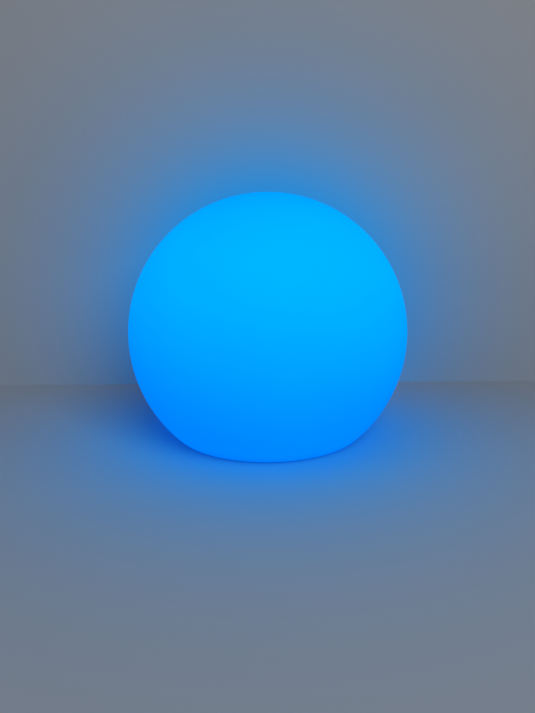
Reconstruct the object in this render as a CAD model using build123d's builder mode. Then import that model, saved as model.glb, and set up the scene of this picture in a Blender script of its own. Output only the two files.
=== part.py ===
"""Garden globe light: a flat-bottomed translucent ball with a twist-in, rechargeable lamp module.

Millimetres and degrees. Z is up, and z = 0 is the surface that the ball stands on.
The ball's axis is Z. The grip bar on the underside runs along Y, with the button at its -Y end
and the charging socket at its +Y end.
"""
import os
from math import asin, degrees, hypot, sqrt

from build123d import *

os.makedirs("parts", exist_ok=True)

# ------------------------------------------------------------------ sizes
# Ball shell
BALL_RADIUS = 100.0
BASE_LAND = 13.6  # width of the flat ring that the ball stands on
BASE_ROUND = 6.0  # rounding between the ball and its flat base
SHELL_WALL = 3.0
POCKET_RADIUS = 52.0  # recess moulded into the flat base
POCKET_DEPTH = 10.0
POCKET_ROUND = 2.0  # rounding of the recess's mouth
SHELF_THICKNESS = 4.0
SHELF_WIDTH = 9.0  # shelf round the opening in the recess's roof

# Threaded inserts and their bosses on the shelf
INSERT_COUNT = 6
INSERT_RADIUS = 2.3
INSERT_LENGTH = 5.0
INSERT_FLANGE = 0.5  # the insert's collar stands out by this much in radius
BOSS_WALL = 2.0
BOSS_COVER = 2.0

# Socket ring: flange, collar, and the ledges that hold the lamp module
RING_GASKET_THICKNESS = 1.0
RING_FLANGE_THICKNESS = 3.0
RING_EDGE_GAP = 0.5  # between the flange and the pocket's wall
COLLAR_GAP = 0.4  # between the collar and the shelf's opening
COLLAR_WALL = 1.8
LEDGE_WIDTH = 2.8
LEDGE_HEIGHT = 7.0
COLLAR_HEADROOM = 2.0  # collar above the lugs

# Bayonet
LUG_COUNT = 3
LUG_ANGLE = 24.0
LUG_THICKNESS = 3.0
LUG_PLAY = 0.05  # between a lug and the ledge that carries it
LUG_EDGE_GAP = 0.4  # between a lug and the collar's wall
SLOT_PLAY_ANGLE = 4.0
TWIST_ANGLE = 30.0  # from locked to the entry slots
STOP_ANGLE = 5.0
STOP_HEIGHT = 2.0

# Lamp module's base
UNDERSIDE_HEIGHT = 1.5  # module's underside above the surface the ball stands on
FLANGE_THICKNESS = 3.0
FLANGE_EDGE_GAP = 1.0  # between the flange and the pocket's wall
FLANGE_ROUND = 0.8
FLANGE_RIM = 2.5  # raised rim on the flange, next to the barrel, that meets the socket ring
BASE_FLOOR = 4.0
BARREL_GAP = 0.4  # between the barrel and the ledges
BARREL_WALL = 3.0
SEAL_SECTION = 2.0  # O-ring's thickness
SEAL_GAP = 0.1
SEAL_GROOVE_PLAY = 0.4
SEAL_HEIGHT = 3.5  # O-ring's middle above the ring's lower face

# Finger wells and grip bar
GRIP_WIDTH = 14.0
WELL_EDGE = 6.6  # between a well and the barrel's inner wall
WELL_POST_GAP = 1.5  # between a well's housing and the posts
WELL_DEPTH = 12.0
WELL_WALL = 2.0
WELL_CORNER = 5.0
WELL_ROOF_ROUND = 2.0
HOUSING_CHAMFER = 1.0
WELL_LIP = 1.0

# Posts, control board and frame
POST_RADIUS = 3.0
POST_EDGE = 0.9  # between a post and the barrel's inner wall
POST_PIPE_GAP = 0.7  # between a post and the light pipe's collar
BOARD_GAP = 1.5  # board above the finger wells' roofs
BOARD_THICKNESS = 1.6
BOARD_EDGE_GAP = 1.0
FRAME_PLATE = 2.5
FRAME_BORE_GAP = 2.4  # between the frame's ring and the connector inside it
FRAME_SCREW_RADIUS = 1.25
FRAME_SCREW_BITE = 6.0  # thread length in the posts
LED_PLATE_EDGE = 1.0  # between the LED plate and the lens screws' bosses
LED_PLATE_THICKNESS = 1.6
LED_COUNT = 12
LED_SIDE = 5.0
LED_HEIGHT = 1.6
LED_WINDOW_RADIUS = 2.0
PLATE_SCREW_COUNT = 3
PLATE_SCREW_RADIUS = 1.0
PLATE_SCREW_LENGTH = 3.5

# Lens
LENS_CLEARANCE = 1.4  # barrel's rim above the LED plate
LENS_WALL = 2.0
LENS_HEAD_GAP = 2.2  # between the dome and the heads of the lens screws
LENS_RISE = 20.0
LENS_FLANGE = 2.5
LENS_GASKET = 1.0
LENS_GASKET_EDGE = 0.2
LENS_BOSS_COUNT = 4
LENS_BOSS_RADIUS = 3.2
LENS_BOSS_INSET = 1.4  # boss axis inside the barrel's inner wall
LENS_BOSS_HEIGHT = 7.0
LENS_SCREW_RADIUS = 1.25
LENS_SCREW_LENGTH = 8.0

# Battery
CELL_RADIUS = 9.1
CELL_LENGTH = 50.0
CELL_PLAY = 0.2
CELL_HEADROOM = 2.0  # frame above the cell
CELL_CAP_RADIUS = 3.0
CELL_CAP_HEIGHT = 1.0
HOLDER_FLOOR = 1.5
HOLDER_WALL = 1.4
HOLDER_END = 2.0
HOLDER_END_HEIGHT = 16.0
CONTACT_THICKNESS = 0.5
CONTACT_WIDTH = 10.0
CONTACT_HEIGHT = 14.0

# Button
BUTTON_EDGE = 1.6  # between the button's guide and the barrel's inner wall
BUTTON_RADIUS = 5.0
BUTTON_HEAD = 3.6
BUTTON_RECESS = 0.4  # button's face above the module's underside
BUTTON_DISH = 0.5
BUTTON_TRAVEL = 0.8
BUTTON_GAP = 0.2
BUTTON_RIM_WIDTH = 1.2  # raised rim that lets a finger find the button
BUTTON_RIM_HEIGHT = 0.5
BUTTON_SPARE = 1.2  # chamber left above the head when it is pressed
STEM_RADIUS = 2.5
GUIDE_WALL = 1.8
GUIDE_LENGTH = 3.0
BUTTON_SEAL_SECTION = 1.0
BUTTON_SEAL_GAP = 0.05
CLIP_THICKNESS = 0.6
CLIP_RADIUS = 4.0
CLIP_MOUTH = 3.4
CLIP_GAP = 0.1  # clip above the guide when the button is out
SWITCH_SIDE = 6.0
SWITCH_HEIGHT = 3.4
PLUNGER_RADIUS = 1.7
PLUNGER_OUT = 1.2  # plunger below the switch's body
PLUNGER_IN = 1.0
PLUNGER_PLAY = 0.1

# Charging socket
SOCKET_EDGE = 3.1  # between the socket's body and the barrel's inner wall
SOCKET_BUSH_RADIUS = 4.0
SOCKET_BODY_RADIUS = 5.5
SOCKET_BORE_RADIUS = 2.8
SOCKET_BORE_DEPTH = 9.5
SOCKET_LEAD_IN = 0.4
PIN_RADIUS = 1.05
PIN_SET_BACK = 2.0  # pin's tip behind the socket's face
PIN_ROOT = 2.5  # pin held in the socket's body
WASHER_THICKNESS = 1.0

# Bung
BUNG_RADIUS = 6.5
BUNG_THICKNESS = 1.6
BUNG_GAP = 0.3
BUNG_PLUG_RADIUS = 2.5
BUNG_PLUG_TIP_RADIUS = 2.2
BUNG_PLUG_LENGTH = 1.5
HINGE_REACH = 2.0  # living hinge beyond the bung's edge
STRAP_WIDTH = 4.0
STRAP_THICKNESS = 1.0
ANCHOR_REACH = 3.5  # anchor's stem beyond the living hinge
ANCHOR_STEM_RADIUS = 1.4
ANCHOR_HEAD_RADIUS = 2.4
ANCHOR_HEAD_HEIGHT = 1.6
NAIL_NOTCH_RADIUS = 2.2

# Charge indicator
PIPE_EDGE = 2.0  # between the rod and the bung's nail notch
PIPE_RADIUS = 1.5
PIPE_COLLAR = 0.8  # the rod's collar stands out by this much in radius
PIPE_COLLAR_HEIGHT = 1.2
STATUS_LED_SIDE = 2.0
STATUS_LED_HEIGHT = 0.8
PIPE_GAP = 0.3

# Screws that hold the ring
RING_SCREW_RADIUS = 1.5
RING_SCREW_HEAD_RADIUS = 2.8
RING_SCREW_HEAD_HEIGHT = 1.7
RING_SCREW_LENGTH = 8.5
DRIVE_RADIUS = 0.9
DRIVE_DEPTH = 1.0
HOLE_PLAY = 0.2  # clearance hole over its screw, in radius
THREAD_PLAY = 0.05  # screw in its threaded hole, in radius

# Parts on the control board
CHIP_SIDE = 7.0
CHIP_HEIGHT = 1.2
CHIP_X = -7.0
COIL_SIDE = 8.0
COIL_HEIGHT = 4.0
COIL_X = 5.5
TOP_PARTS_Y = 18.5
CAPACITOR_RADIUS = 4.0
CAPACITOR_HEIGHT = 11.0
CAPACITOR_X = 10.5
CONNECTOR_X_SIZE = 9.0
CONNECTOR_Y_SIZE = 5.0
CONNECTOR_HEIGHT = 5.0
CONNECTOR_GAP = 2.3  # between a connector and the battery holder
LEAD_PITCH = 2.0
LEAD_RADIUS = 0.6
LEAD_BOW = 2.5
RECEIVER_X_SIZE = 6.0
RECEIVER_Y_SIZE = 5.0
RECEIVER_HEIGHT = 7.0
RECEIVER_EYE_RADIUS = 2.2

# ------------------------------------------------------------------ places worked out from the sizes
base_radius = POCKET_RADIUS + BASE_LAND
centre_height = BASE_ROUND + sqrt((BALL_RADIUS - BASE_ROUND) ** 2 - base_radius**2)
shelf_opening_radius = POCKET_RADIUS - SHELF_WIDTH
shelf_top = POCKET_DEPTH + SHELF_THICKNESS
boss_radius = INSERT_RADIUS + BOSS_WALL
boss_top = POCKET_DEPTH + INSERT_LENGTH + BOSS_COVER
screw_circle = (shelf_opening_radius + POCKET_RADIUS) / 2

ring_top = POCKET_DEPTH - RING_GASKET_THICKNESS
ring_bottom = ring_top - RING_FLANGE_THICKNESS
ring_radius = POCKET_RADIUS - RING_EDGE_GAP
collar_radius = shelf_opening_radius - COLLAR_GAP
channel_radius = collar_radius - COLLAR_WALL
ledge_radius = channel_radius - LEDGE_WIDTH
ledge_top = ring_bottom + LEDGE_HEIGHT
collar_top = ledge_top + LUG_THICKNESS + COLLAR_HEADROOM
slot_angle = LUG_ANGLE + SLOT_PLAY_ANGLE

underside = UNDERSIDE_HEIGHT
floor_top = underside + BASE_FLOOR
flange_top = underside + FLANGE_THICKNESS
flange_radius = POCKET_RADIUS - FLANGE_EDGE_GAP
barrel_radius = ledge_radius - BARREL_GAP
bore_radius = barrel_radius - BARREL_WALL
seal_ring_radius = ledge_radius - SEAL_GAP - SEAL_SECTION / 2
groove_radius = seal_ring_radius - SEAL_SECTION / 2
groove_half_width = (SEAL_SECTION + SEAL_GROOVE_PLAY) / 2
seal_z = ring_bottom + SEAL_HEIGHT
lug_bottom = ledge_top + LUG_PLAY
lug_radius = channel_radius - LUG_EDGE_GAP

bung_hinge_x = BUNG_RADIUS + HINGE_REACH
anchor_x = bung_hinge_x + ANCHOR_REACH
pipe_x = -(BUNG_RADIUS + BUNG_GAP + NAIL_NOTCH_RADIUS + PIPE_EDGE + PIPE_RADIUS)
post_circle = bore_radius - POST_EDGE - POST_RADIUS
post_x = -pipe_x + PIPE_RADIUS + PIPE_COLLAR + POST_PIPE_GAP + POST_RADIUS
post_y = sqrt(post_circle**2 - post_x**2)
post_places = [(x, y) for x in (-post_x, post_x) for y in (-post_y, post_y)]

well_reach = bore_radius - WELL_EDGE
well_length = 2 * (post_y - POST_RADIUS - WELL_POST_GAP - WELL_WALL)
well_roof = underside + WELL_DEPTH + WELL_WALL
board_bottom = well_roof + BOARD_GAP
board_top = board_bottom + BOARD_THICKNESS
board_radius = bore_radius - BOARD_EDGE_GAP
cell_z = board_top + HOLDER_FLOOR + CELL_PLAY + CELL_RADIUS
frame_bottom = cell_z + CELL_RADIUS + CELL_HEADROOM
frame_top = frame_bottom + FRAME_PLATE
led_plate_top = frame_top + LED_PLATE_THICKNESS
barrel_top = led_plate_top + LENS_CLEARANCE
lens_boss_circle = bore_radius - LENS_BOSS_INSET
lens_radius = lens_boss_circle - 2 * LENS_SCREW_RADIUS - LENS_HEAD_GAP
led_plate_radius = lens_boss_circle - LENS_BOSS_RADIUS - LED_PLATE_EDGE
lens_flange_bottom = barrel_top + LENS_GASKET
lens_flange_top = lens_flange_bottom + LENS_FLANGE

holder_half = (CELL_LENGTH + CELL_CAP_HEIGHT) / 2 + CONTACT_THICKNESS
holder_half_width = CELL_RADIUS + CELL_PLAY + HOLDER_WALL
connector_y = -(holder_half_width + CONNECTOR_GAP + CONNECTOR_Y_SIZE / 2)
frame_bore_radius = hypot(CONNECTOR_X_SIZE / 2, connector_y - CONNECTOR_Y_SIZE / 2) + FRAME_BORE_GAP
led_circle_radius = frame_bore_radius - LED_SIDE / 2
led_start_angle = 180 / LED_COUNT  # the LEDs stand half a step round from the plate's screws
plate_screw_circle = (frame_bore_radius + led_plate_radius) / 2

chamber_radius = BUTTON_RADIUS + BUTTON_GAP
button_y = -(bore_radius - BUTTON_EDGE - GUIDE_WALL - chamber_radius)
button_face = underside + BUTTON_RECESS
button_head_top = button_face + BUTTON_HEAD
button_seal_radius = chamber_radius - BUTTON_SEAL_GAP
button_seal_bottom = button_face + (BUTTON_HEAD - BUTTON_SEAL_SECTION) / 2
chamber_top = button_head_top + BUTTON_TRAVEL + BUTTON_SPARE
guide_top = chamber_top + GUIDE_LENGTH
switch_bottom = board_bottom - SWITCH_HEIGHT
stem_top = switch_bottom - PLUNGER_OUT

bung_seat = underside + BUNG_THICKNESS  # the socket's face, and the floor of the bung's recess
socket_shoulder = floor_top + WASHER_THICKNESS
socket_y = bore_radius - SOCKET_EDGE - SOCKET_BODY_RADIUS


def annular_sector(inner, outer, start, size):
    """Sketch a piece of a ring between two radii, from a start angle over a size in degrees."""
    with BuildSketch(mode=Mode.PRIVATE) as sector:
        with BuildLine():
            rim = CenterArc((0, 0), outer, start, size)
            root = CenterArc((0, 0), inner, start, size)
            Line(rim @ 0, root @ 0)
            Line(rim @ 1, root @ 1)
        make_face()
    return sector.sketch


def well_outline(side, grow):
    """Sketch one D-shaped finger well, beside the grip bar, grown outwards all round."""
    near = GRIP_WIDTH / 2
    with BuildSketch(mode=Mode.PRIVATE) as outline:
        Circle(well_reach)
        with Locations((side * (near + well_reach) / 2, 0)):
            Rectangle(well_reach - near, well_length, mode=Mode.INTERSECT)
        fillet(outline.vertices(), WELL_CORNER)
        if grow > 0:
            offset(amount=grow)
    return outline.sketch


# ------------------------------------------------------------------ ball shell
with BuildPart() as globe_shell:
    with BuildSketch(Plane.XZ):
        with BuildLine():
            rim_tilt = degrees(asin((centre_height - BASE_ROUND) / (BALL_RADIUS - BASE_ROUND)))
            outside = CenterArc((0, centre_height), BALL_RADIUS, -rim_tilt, 90 + rim_tilt)
            rim = CenterArc((base_radius, BASE_ROUND), BASE_ROUND, -90, 90 - rim_tilt)
            pocket = FilletPolyline(
                rim @ 0,
                (POCKET_RADIUS, 0),
                (POCKET_RADIUS, POCKET_DEPTH),
                (shelf_opening_radius, POCKET_DEPTH),
                (shelf_opening_radius, shelf_top),
                (POCKET_RADIUS + SHELL_WALL, shelf_top),
                (POCKET_RADIUS + SHELL_WALL, SHELL_WALL),
                (base_radius, SHELL_WALL),
                radius=[POCKET_ROUND, 0, 0, 0, POCKET_ROUND, POCKET_ROUND],
            )
            inner_rim = CenterArc((base_radius, BASE_ROUND), BASE_ROUND - SHELL_WALL, -90, 90 - rim_tilt)
            inside = CenterArc((0, centre_height), BALL_RADIUS - SHELL_WALL, -rim_tilt, 90 + rim_tilt)
            Line(inside @ 1, outside @ 1)
        make_face()
    revolve(axis=Axis.Z)
    with BuildSketch(Plane.XY.offset(shelf_top)):
        with PolarLocations(screw_circle, INSERT_COUNT):
            Circle(boss_radius)
    extrude(amount=boss_top - shelf_top)
    boss_tops = globe_shell.faces().filter_by(Plane.XY).group_by(Axis.Z)[-1]
    fillet(boss_tops.edges(), BOSS_COVER / 2)
    with BuildSketch(Plane.XY.offset(POCKET_DEPTH)):
        with PolarLocations(screw_circle, INSERT_COUNT):
            Circle(INSERT_RADIUS)
    extrude(amount=INSERT_LENGTH, mode=Mode.SUBTRACT)
    with BuildSketch(Plane.XY.offset(POCKET_DEPTH)):
        with PolarLocations(screw_circle, INSERT_COUNT):
            Circle(INSERT_RADIUS + INSERT_FLANGE)
    extrude(amount=INSERT_FLANGE, mode=Mode.SUBTRACT)
globe_shell.part.label = "globe_shell"
export_step(globe_shell.part, "parts/globe_shell.step")

with BuildPart() as shell_inserts:
    with BuildSketch(Plane.XY.offset(POCKET_DEPTH)):
        with PolarLocations(screw_circle, INSERT_COUNT):
            Circle(INSERT_RADIUS)
    extrude(amount=INSERT_LENGTH)
    with BuildSketch(Plane.XY.offset(POCKET_DEPTH)):
        with PolarLocations(screw_circle, INSERT_COUNT):
            Circle(INSERT_RADIUS + INSERT_FLANGE)
    extrude(amount=INSERT_FLANGE)
    with BuildSketch(Plane.XY.offset(POCKET_DEPTH)):
        with PolarLocations(screw_circle, INSERT_COUNT):
            Circle(RING_SCREW_RADIUS + THREAD_PLAY)
    extrude(amount=INSERT_LENGTH, mode=Mode.SUBTRACT)
shell_inserts.part.label = "shell_inserts"
export_step(shell_inserts.part, "parts/shell_inserts.step")

# ------------------------------------------------------------------ socket ring, its gasket and screws
with BuildPart() as ring_gasket:
    with BuildSketch(Plane.XY.offset(ring_top)):
        Circle(ring_radius)
        Circle(shelf_opening_radius, mode=Mode.SUBTRACT)
        with PolarLocations(screw_circle, INSERT_COUNT):
            Circle(RING_SCREW_RADIUS + HOLE_PLAY, mode=Mode.SUBTRACT)
    extrude(amount=RING_GASKET_THICKNESS)
ring_gasket.part.label = "ring_gasket"
export_step(ring_gasket.part, "parts/ring_gasket.step")

with BuildPart() as socket_ring:
    with BuildSketch(Plane.XZ):
        with BuildLine():
            Polyline(
                (ledge_radius, ring_bottom),
                (ring_radius, ring_bottom),
                (ring_radius, ring_top),
                (collar_radius, ring_top),
                (collar_radius, collar_top),
                (channel_radius, collar_top),
                (channel_radius, ledge_top),
                (ledge_radius, ledge_top),
                close=True,
            )
        make_face()
    revolve(axis=Axis.Z)
    for index in range(LUG_COUNT):
        lug_middle = index * 360 / LUG_COUNT
        slot_start = lug_middle - TWIST_ANGLE - slot_angle / 2
        with BuildSketch(Plane.XY.offset(ring_bottom)):
            add(annular_sector(ledge_radius - BARREL_GAP, channel_radius, slot_start, slot_angle))
        extrude(amount=LEDGE_HEIGHT, mode=Mode.SUBTRACT)
        locked_stop = lug_middle + LUG_ANGLE / 2 + SLOT_PLAY_ANGLE / 4
        open_stop = slot_start - STOP_ANGLE
        stop_inner = ledge_radius + BARREL_GAP
        stop_outer = channel_radius + COLLAR_WALL / 2
        with BuildSketch(Plane.XY.offset(ledge_top)):
            add(annular_sector(stop_inner, stop_outer, locked_stop, STOP_ANGLE))
            add(annular_sector(stop_inner, stop_outer, open_stop, STOP_ANGLE))
        extrude(amount=STOP_HEIGHT)
    with Locations(Plane.XY.offset(ring_bottom)):
        with PolarLocations(screw_circle, INSERT_COUNT):
            Cone(
                RING_SCREW_HEAD_RADIUS,
                RING_SCREW_RADIUS,
                RING_SCREW_HEAD_HEIGHT,
                align=(Align.CENTER, Align.CENTER, Align.MIN),
                mode=Mode.SUBTRACT,
            )
            Cylinder(
                RING_SCREW_RADIUS + HOLE_PLAY,
                RING_FLANGE_THICKNESS,
                align=(Align.CENTER, Align.CENTER, Align.MIN),
                mode=Mode.SUBTRACT,
            )
socket_ring.part.label = "socket_ring"
export_step(socket_ring.part, "parts/socket_ring.step")

with BuildPart() as ring_screws:
    with Locations(Plane.XY.offset(ring_bottom)):
        with PolarLocations(screw_circle, INSERT_COUNT):
            Cone(
                RING_SCREW_HEAD_RADIUS,
                RING_SCREW_RADIUS,
                RING_SCREW_HEAD_HEIGHT,
                align=(Align.CENTER, Align.CENTER, Align.MIN),
            )
            Cylinder(RING_SCREW_RADIUS, RING_SCREW_LENGTH, align=(Align.CENTER, Align.CENTER, Align.MIN))
    with BuildSketch(Plane.XY.offset(ring_bottom)):
        with PolarLocations(screw_circle, INSERT_COUNT):
            RegularPolygon(DRIVE_RADIUS, 6)
    extrude(amount=DRIVE_DEPTH, mode=Mode.SUBTRACT)
ring_screws.part.label = "ring_screws"
export_step(ring_screws.part, "parts/ring_screws.step")

# ------------------------------------------------------------------ lamp module's base
with BuildPart() as module_base:
    with BuildSketch(Plane.XZ):
        with BuildLine():
            Polyline(
                (0, underside),
                (flange_radius, underside),
                (flange_radius, flange_top),
                (barrel_radius + FLANGE_RIM, flange_top),
                (barrel_radius + FLANGE_RIM, ring_bottom - LUG_PLAY),
                (barrel_radius, ring_bottom - LUG_PLAY),
                (barrel_radius, seal_z - groove_half_width),
                (groove_radius, seal_z - groove_half_width),
                (groove_radius, seal_z + groove_half_width),
                (barrel_radius, seal_z + groove_half_width),
                (barrel_radius, barrel_top),
                (bore_radius, barrel_top),
                (bore_radius, floor_top),
                (0, floor_top),
                close=True,
            )
        make_face()
    revolve(axis=Axis.Z)
    flange_edge = module_base.edges().filter_by(GeomType.CIRCLE).group_by(SortBy.RADIUS)[-1]
    fillet(flange_edge, FLANGE_ROUND)

    # Finger wells: their housings first, then the hollows
    for side in (-1, 1):
        with BuildSketch(Plane.XY.offset(underside)):
            add(well_outline(side, WELL_WALL))
        extrude(amount=WELL_DEPTH + WELL_WALL)
    housing_roofs = module_base.faces().filter_by(Plane.XY).group_by(Axis.Z)[-2]
    chamfer(housing_roofs.edges(), HOUSING_CHAMFER)
    for side in (-1, 1):
        with BuildSketch(Plane.XY.offset(underside)):
            add(well_outline(side, 0))
        extrude(amount=WELL_DEPTH, mode=Mode.SUBTRACT)
    well_ceilings = module_base.faces().filter_by(Plane.XY).group_by(Axis.Z)[-3]
    fillet(well_ceilings.edges(), WELL_ROOF_ROUND)
    underside_face = module_base.faces().filter_by(Plane.XY).group_by(Axis.Z)[0][0]
    well_mouths = [edge for mouth in underside_face.inner_wires() for edge in mouth.edges()]
    fillet(well_mouths, WELL_LIP)

    # Posts for the control board, and bosses for the lens screws
    with BuildSketch(Plane.XY.offset(floor_top)):
        with Locations(*post_places):
            Circle(POST_RADIUS)
    extrude(amount=board_bottom - floor_top)
    with BuildSketch(Plane.XY.offset(barrel_top - LENS_BOSS_HEIGHT)):
        with PolarLocations(lens_boss_circle, LENS_BOSS_COUNT):
            Circle(LENS_BOSS_RADIUS)
    extrude(amount=LENS_BOSS_HEIGHT)

    # Button's guide, sockets for the charging parts and the indicator
    with BuildSketch(Plane.XY.offset(underside)):
        with Locations((0, button_y)):
            Circle(chamber_radius + GUIDE_WALL)
    extrude(amount=guide_top - underside)
    with BuildSketch(Plane.XY.offset(underside)):
        with Locations((0, button_y)):
            Circle(chamber_radius)
    extrude(amount=chamber_top - underside, mode=Mode.SUBTRACT)
    with BuildSketch(Plane.XY.offset(chamber_top)):
        with Locations((0, button_y)):
            Circle(STEM_RADIUS + BUTTON_GAP)
    extrude(amount=GUIDE_LENGTH, mode=Mode.SUBTRACT)
    with BuildSketch(Plane.XY.offset(underside)):
        with Locations((0, button_y)):
            Circle(chamber_radius + BUTTON_RIM_WIDTH)
            Circle(chamber_radius, mode=Mode.SUBTRACT)
    extrude(amount=-BUTTON_RIM_HEIGHT)

    with BuildSketch(Plane.XY.offset(underside)):
        with Locations((0, socket_y)):
            Circle(BUNG_RADIUS + BUNG_GAP)
        with Locations((-BUNG_RADIUS - BUNG_GAP, socket_y)):
            Circle(NAIL_NOTCH_RADIUS)
        with Locations((anchor_x / 2, socket_y)):
            Rectangle(anchor_x, STRAP_WIDTH + 2 * BUNG_GAP)
        with Locations((anchor_x, socket_y)):
            Circle(STRAP_WIDTH / 2 + BUNG_GAP)
    extrude(amount=BUNG_THICKNESS, mode=Mode.SUBTRACT)
    with BuildSketch(Plane.XY.offset(underside)):
        with Locations((0, socket_y)):
            Circle(SOCKET_BUSH_RADIUS)
        with Locations((anchor_x, socket_y)):
            Circle(ANCHOR_STEM_RADIUS)
        with Locations((pipe_x, socket_y)):
            Circle(PIPE_RADIUS)
    extrude(amount=BASE_FLOOR, mode=Mode.SUBTRACT)

    # Threaded holes
    with BuildSketch(Plane.XY.offset(board_bottom)):
        with Locations(*post_places):
            Circle(FRAME_SCREW_RADIUS + THREAD_PLAY)
    extrude(amount=-FRAME_SCREW_BITE, mode=Mode.SUBTRACT)
    with BuildSketch(Plane.XY.offset(barrel_top)):
        with PolarLocations(lens_boss_circle, LENS_BOSS_COUNT):
            Circle(LENS_SCREW_RADIUS + THREAD_PLAY)
    extrude(amount=-(LENS_SCREW_LENGTH - LENS_FLANGE - LENS_GASKET + THREAD_PLAY), mode=Mode.SUBTRACT)

    # Bayonet lugs
    for index in range(LUG_COUNT):
        lug_start = index * 360 / LUG_COUNT - LUG_ANGLE / 2
        with BuildSketch(Plane.XY.offset(lug_bottom)):
            add(annular_sector(barrel_radius - BARREL_WALL / 2, lug_radius, lug_start, LUG_ANGLE))
        extrude(amount=LUG_THICKNESS)
module_base.part.label = "module_base"
export_step(module_base.part, "parts/module_base.step")

with BuildPart() as module_seal:
    with Locations((0, 0, seal_z)):
        Torus(seal_ring_radius, SEAL_SECTION / 2)
module_seal.part.label = "module_seal"
export_step(module_seal.part, "parts/module_seal.step")

# ------------------------------------------------------------------ control board and what it carries
with BuildPart() as control_board:
    with BuildSketch(Plane.XY.offset(board_bottom)):
        Circle(board_radius)
        with PolarLocations(lens_boss_circle, LENS_BOSS_COUNT):
            Circle(LENS_BOSS_RADIUS + BOARD_EDGE_GAP, mode=Mode.SUBTRACT)
        with Locations(*post_places):
            Circle(FRAME_SCREW_RADIUS + HOLE_PLAY, mode=Mode.SUBTRACT)
    extrude(amount=BOARD_THICKNESS)
control_board.part.label = "control_board"
export_step(control_board.part, "parts/control_board.step")

with BuildPart() as driver_chip:
    with BuildSketch(Plane.XY.offset(board_top)):
        with Locations((CHIP_X, TOP_PARTS_Y)):
            Rectangle(CHIP_SIDE, CHIP_SIDE)
    extrude(amount=CHIP_HEIGHT)
    chamfer(driver_chip.edges().group_by(Axis.Z)[-1], CHIP_HEIGHT / 6)
driver_chip.part.label = "driver_chip"
export_step(driver_chip.part, "parts/driver_chip.step")

with BuildPart() as choke_coil:
    with BuildSketch(Plane.XY.offset(board_top)):
        with Locations((COIL_X, TOP_PARTS_Y)):
            RectangleRounded(COIL_SIDE, COIL_SIDE, COIL_SIDE / 5)
    extrude(amount=COIL_HEIGHT)
    chamfer(choke_coil.edges().group_by(Axis.Z)[-1], COIL_HEIGHT / 8)
choke_coil.part.label = "choke_coil"
export_step(choke_coil.part, "parts/choke_coil.step")

with BuildPart() as buffer_capacitor:
    with BuildSketch(Plane.XY.offset(board_top)):
        with Locations((CAPACITOR_X, -TOP_PARTS_Y)):
            Circle(CAPACITOR_RADIUS)
    extrude(amount=CAPACITOR_HEIGHT)
    fillet(buffer_capacitor.edges().group_by(Axis.Z)[-1], CAPACITOR_RADIUS / 6)
buffer_capacitor.part.label = "buffer_capacitor"
export_step(buffer_capacitor.part, "parts/buffer_capacitor.step")

with BuildPart() as tact_switch:
    with BuildSketch(Plane.XY.offset(switch_bottom)):
        with Locations((0, button_y)):
            Rectangle(SWITCH_SIDE, SWITCH_SIDE)
            Circle(PLUNGER_RADIUS + PLUNGER_PLAY, mode=Mode.SUBTRACT)
    extrude(amount=PLUNGER_IN + BUTTON_TRAVEL + PLUNGER_PLAY)
    with BuildSketch(Plane.XY.offset(switch_bottom + PLUNGER_IN + BUTTON_TRAVEL + PLUNGER_PLAY)):
        with Locations((0, button_y)):
            Rectangle(SWITCH_SIDE, SWITCH_SIDE)
    extrude(amount=SWITCH_HEIGHT - PLUNGER_IN - BUTTON_TRAVEL - PLUNGER_PLAY)
tact_switch.part.label = "tact_switch"
export_step(tact_switch.part, "parts/tact_switch.step")

with BuildPart() as status_led:
    with BuildSketch(Plane.XY.offset(board_bottom)):
        with Locations((pipe_x, socket_y)):
            Rectangle(STATUS_LED_SIDE, STATUS_LED_SIDE)
    extrude(amount=-STATUS_LED_HEIGHT)
status_led.part.label = "status_led"
export_step(status_led.part, "parts/status_led.step")

with BuildPart() as status_light_pipe:
    with BuildSketch(Plane.XY.offset(underside)):
        with Locations((pipe_x, socket_y)):
            Circle(PIPE_RADIUS)
    extrude(amount=board_bottom - STATUS_LED_HEIGHT - PIPE_GAP - underside)
    with BuildSketch(Plane.XY.offset(floor_top)):
        with Locations((pipe_x, socket_y)):
            Circle(PIPE_RADIUS + PIPE_COLLAR)
    extrude(amount=PIPE_COLLAR_HEIGHT)
status_light_pipe.part.label = "status_light_pipe"
export_step(status_light_pipe.part, "parts/status_light_pipe.step")

# ------------------------------------------------------------------ button
with BuildPart() as power_button:
    with BuildSketch(Plane.XY.offset(button_face)):
        with Locations((0, button_y)):
            Circle(BUTTON_RADIUS)
    extrude(amount=BUTTON_HEAD)
    with BuildSketch(Plane.XY.offset(button_head_top)):
        with Locations((0, button_y)):
            Circle(STEM_RADIUS)
    extrude(amount=stem_top - button_head_top)
    dish_radius = (BUTTON_RADIUS**2 + BUTTON_DISH**2) / (2 * BUTTON_DISH)
    with Locations((0, button_y, button_face + BUTTON_DISH / 2 - dish_radius)):
        Sphere(dish_radius, mode=Mode.SUBTRACT)
    with BuildSketch(Plane.XY.offset(button_seal_bottom)):
        with Locations((0, button_y)):
            Circle(button_seal_radius)
            Circle(button_seal_radius - BUTTON_SEAL_SECTION, mode=Mode.SUBTRACT)
    extrude(amount=BUTTON_SEAL_SECTION, mode=Mode.SUBTRACT)
    with BuildSketch(Plane.XY.offset(guide_top + CLIP_GAP)):
        with Locations((0, button_y)):
            Circle(STEM_RADIUS)
            Circle(STEM_RADIUS - CLIP_THICKNESS, mode=Mode.SUBTRACT)
    extrude(amount=CLIP_THICKNESS, mode=Mode.SUBTRACT)
power_button.part.label = "power_button"
export_step(power_button.part, "parts/power_button.step")

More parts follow.
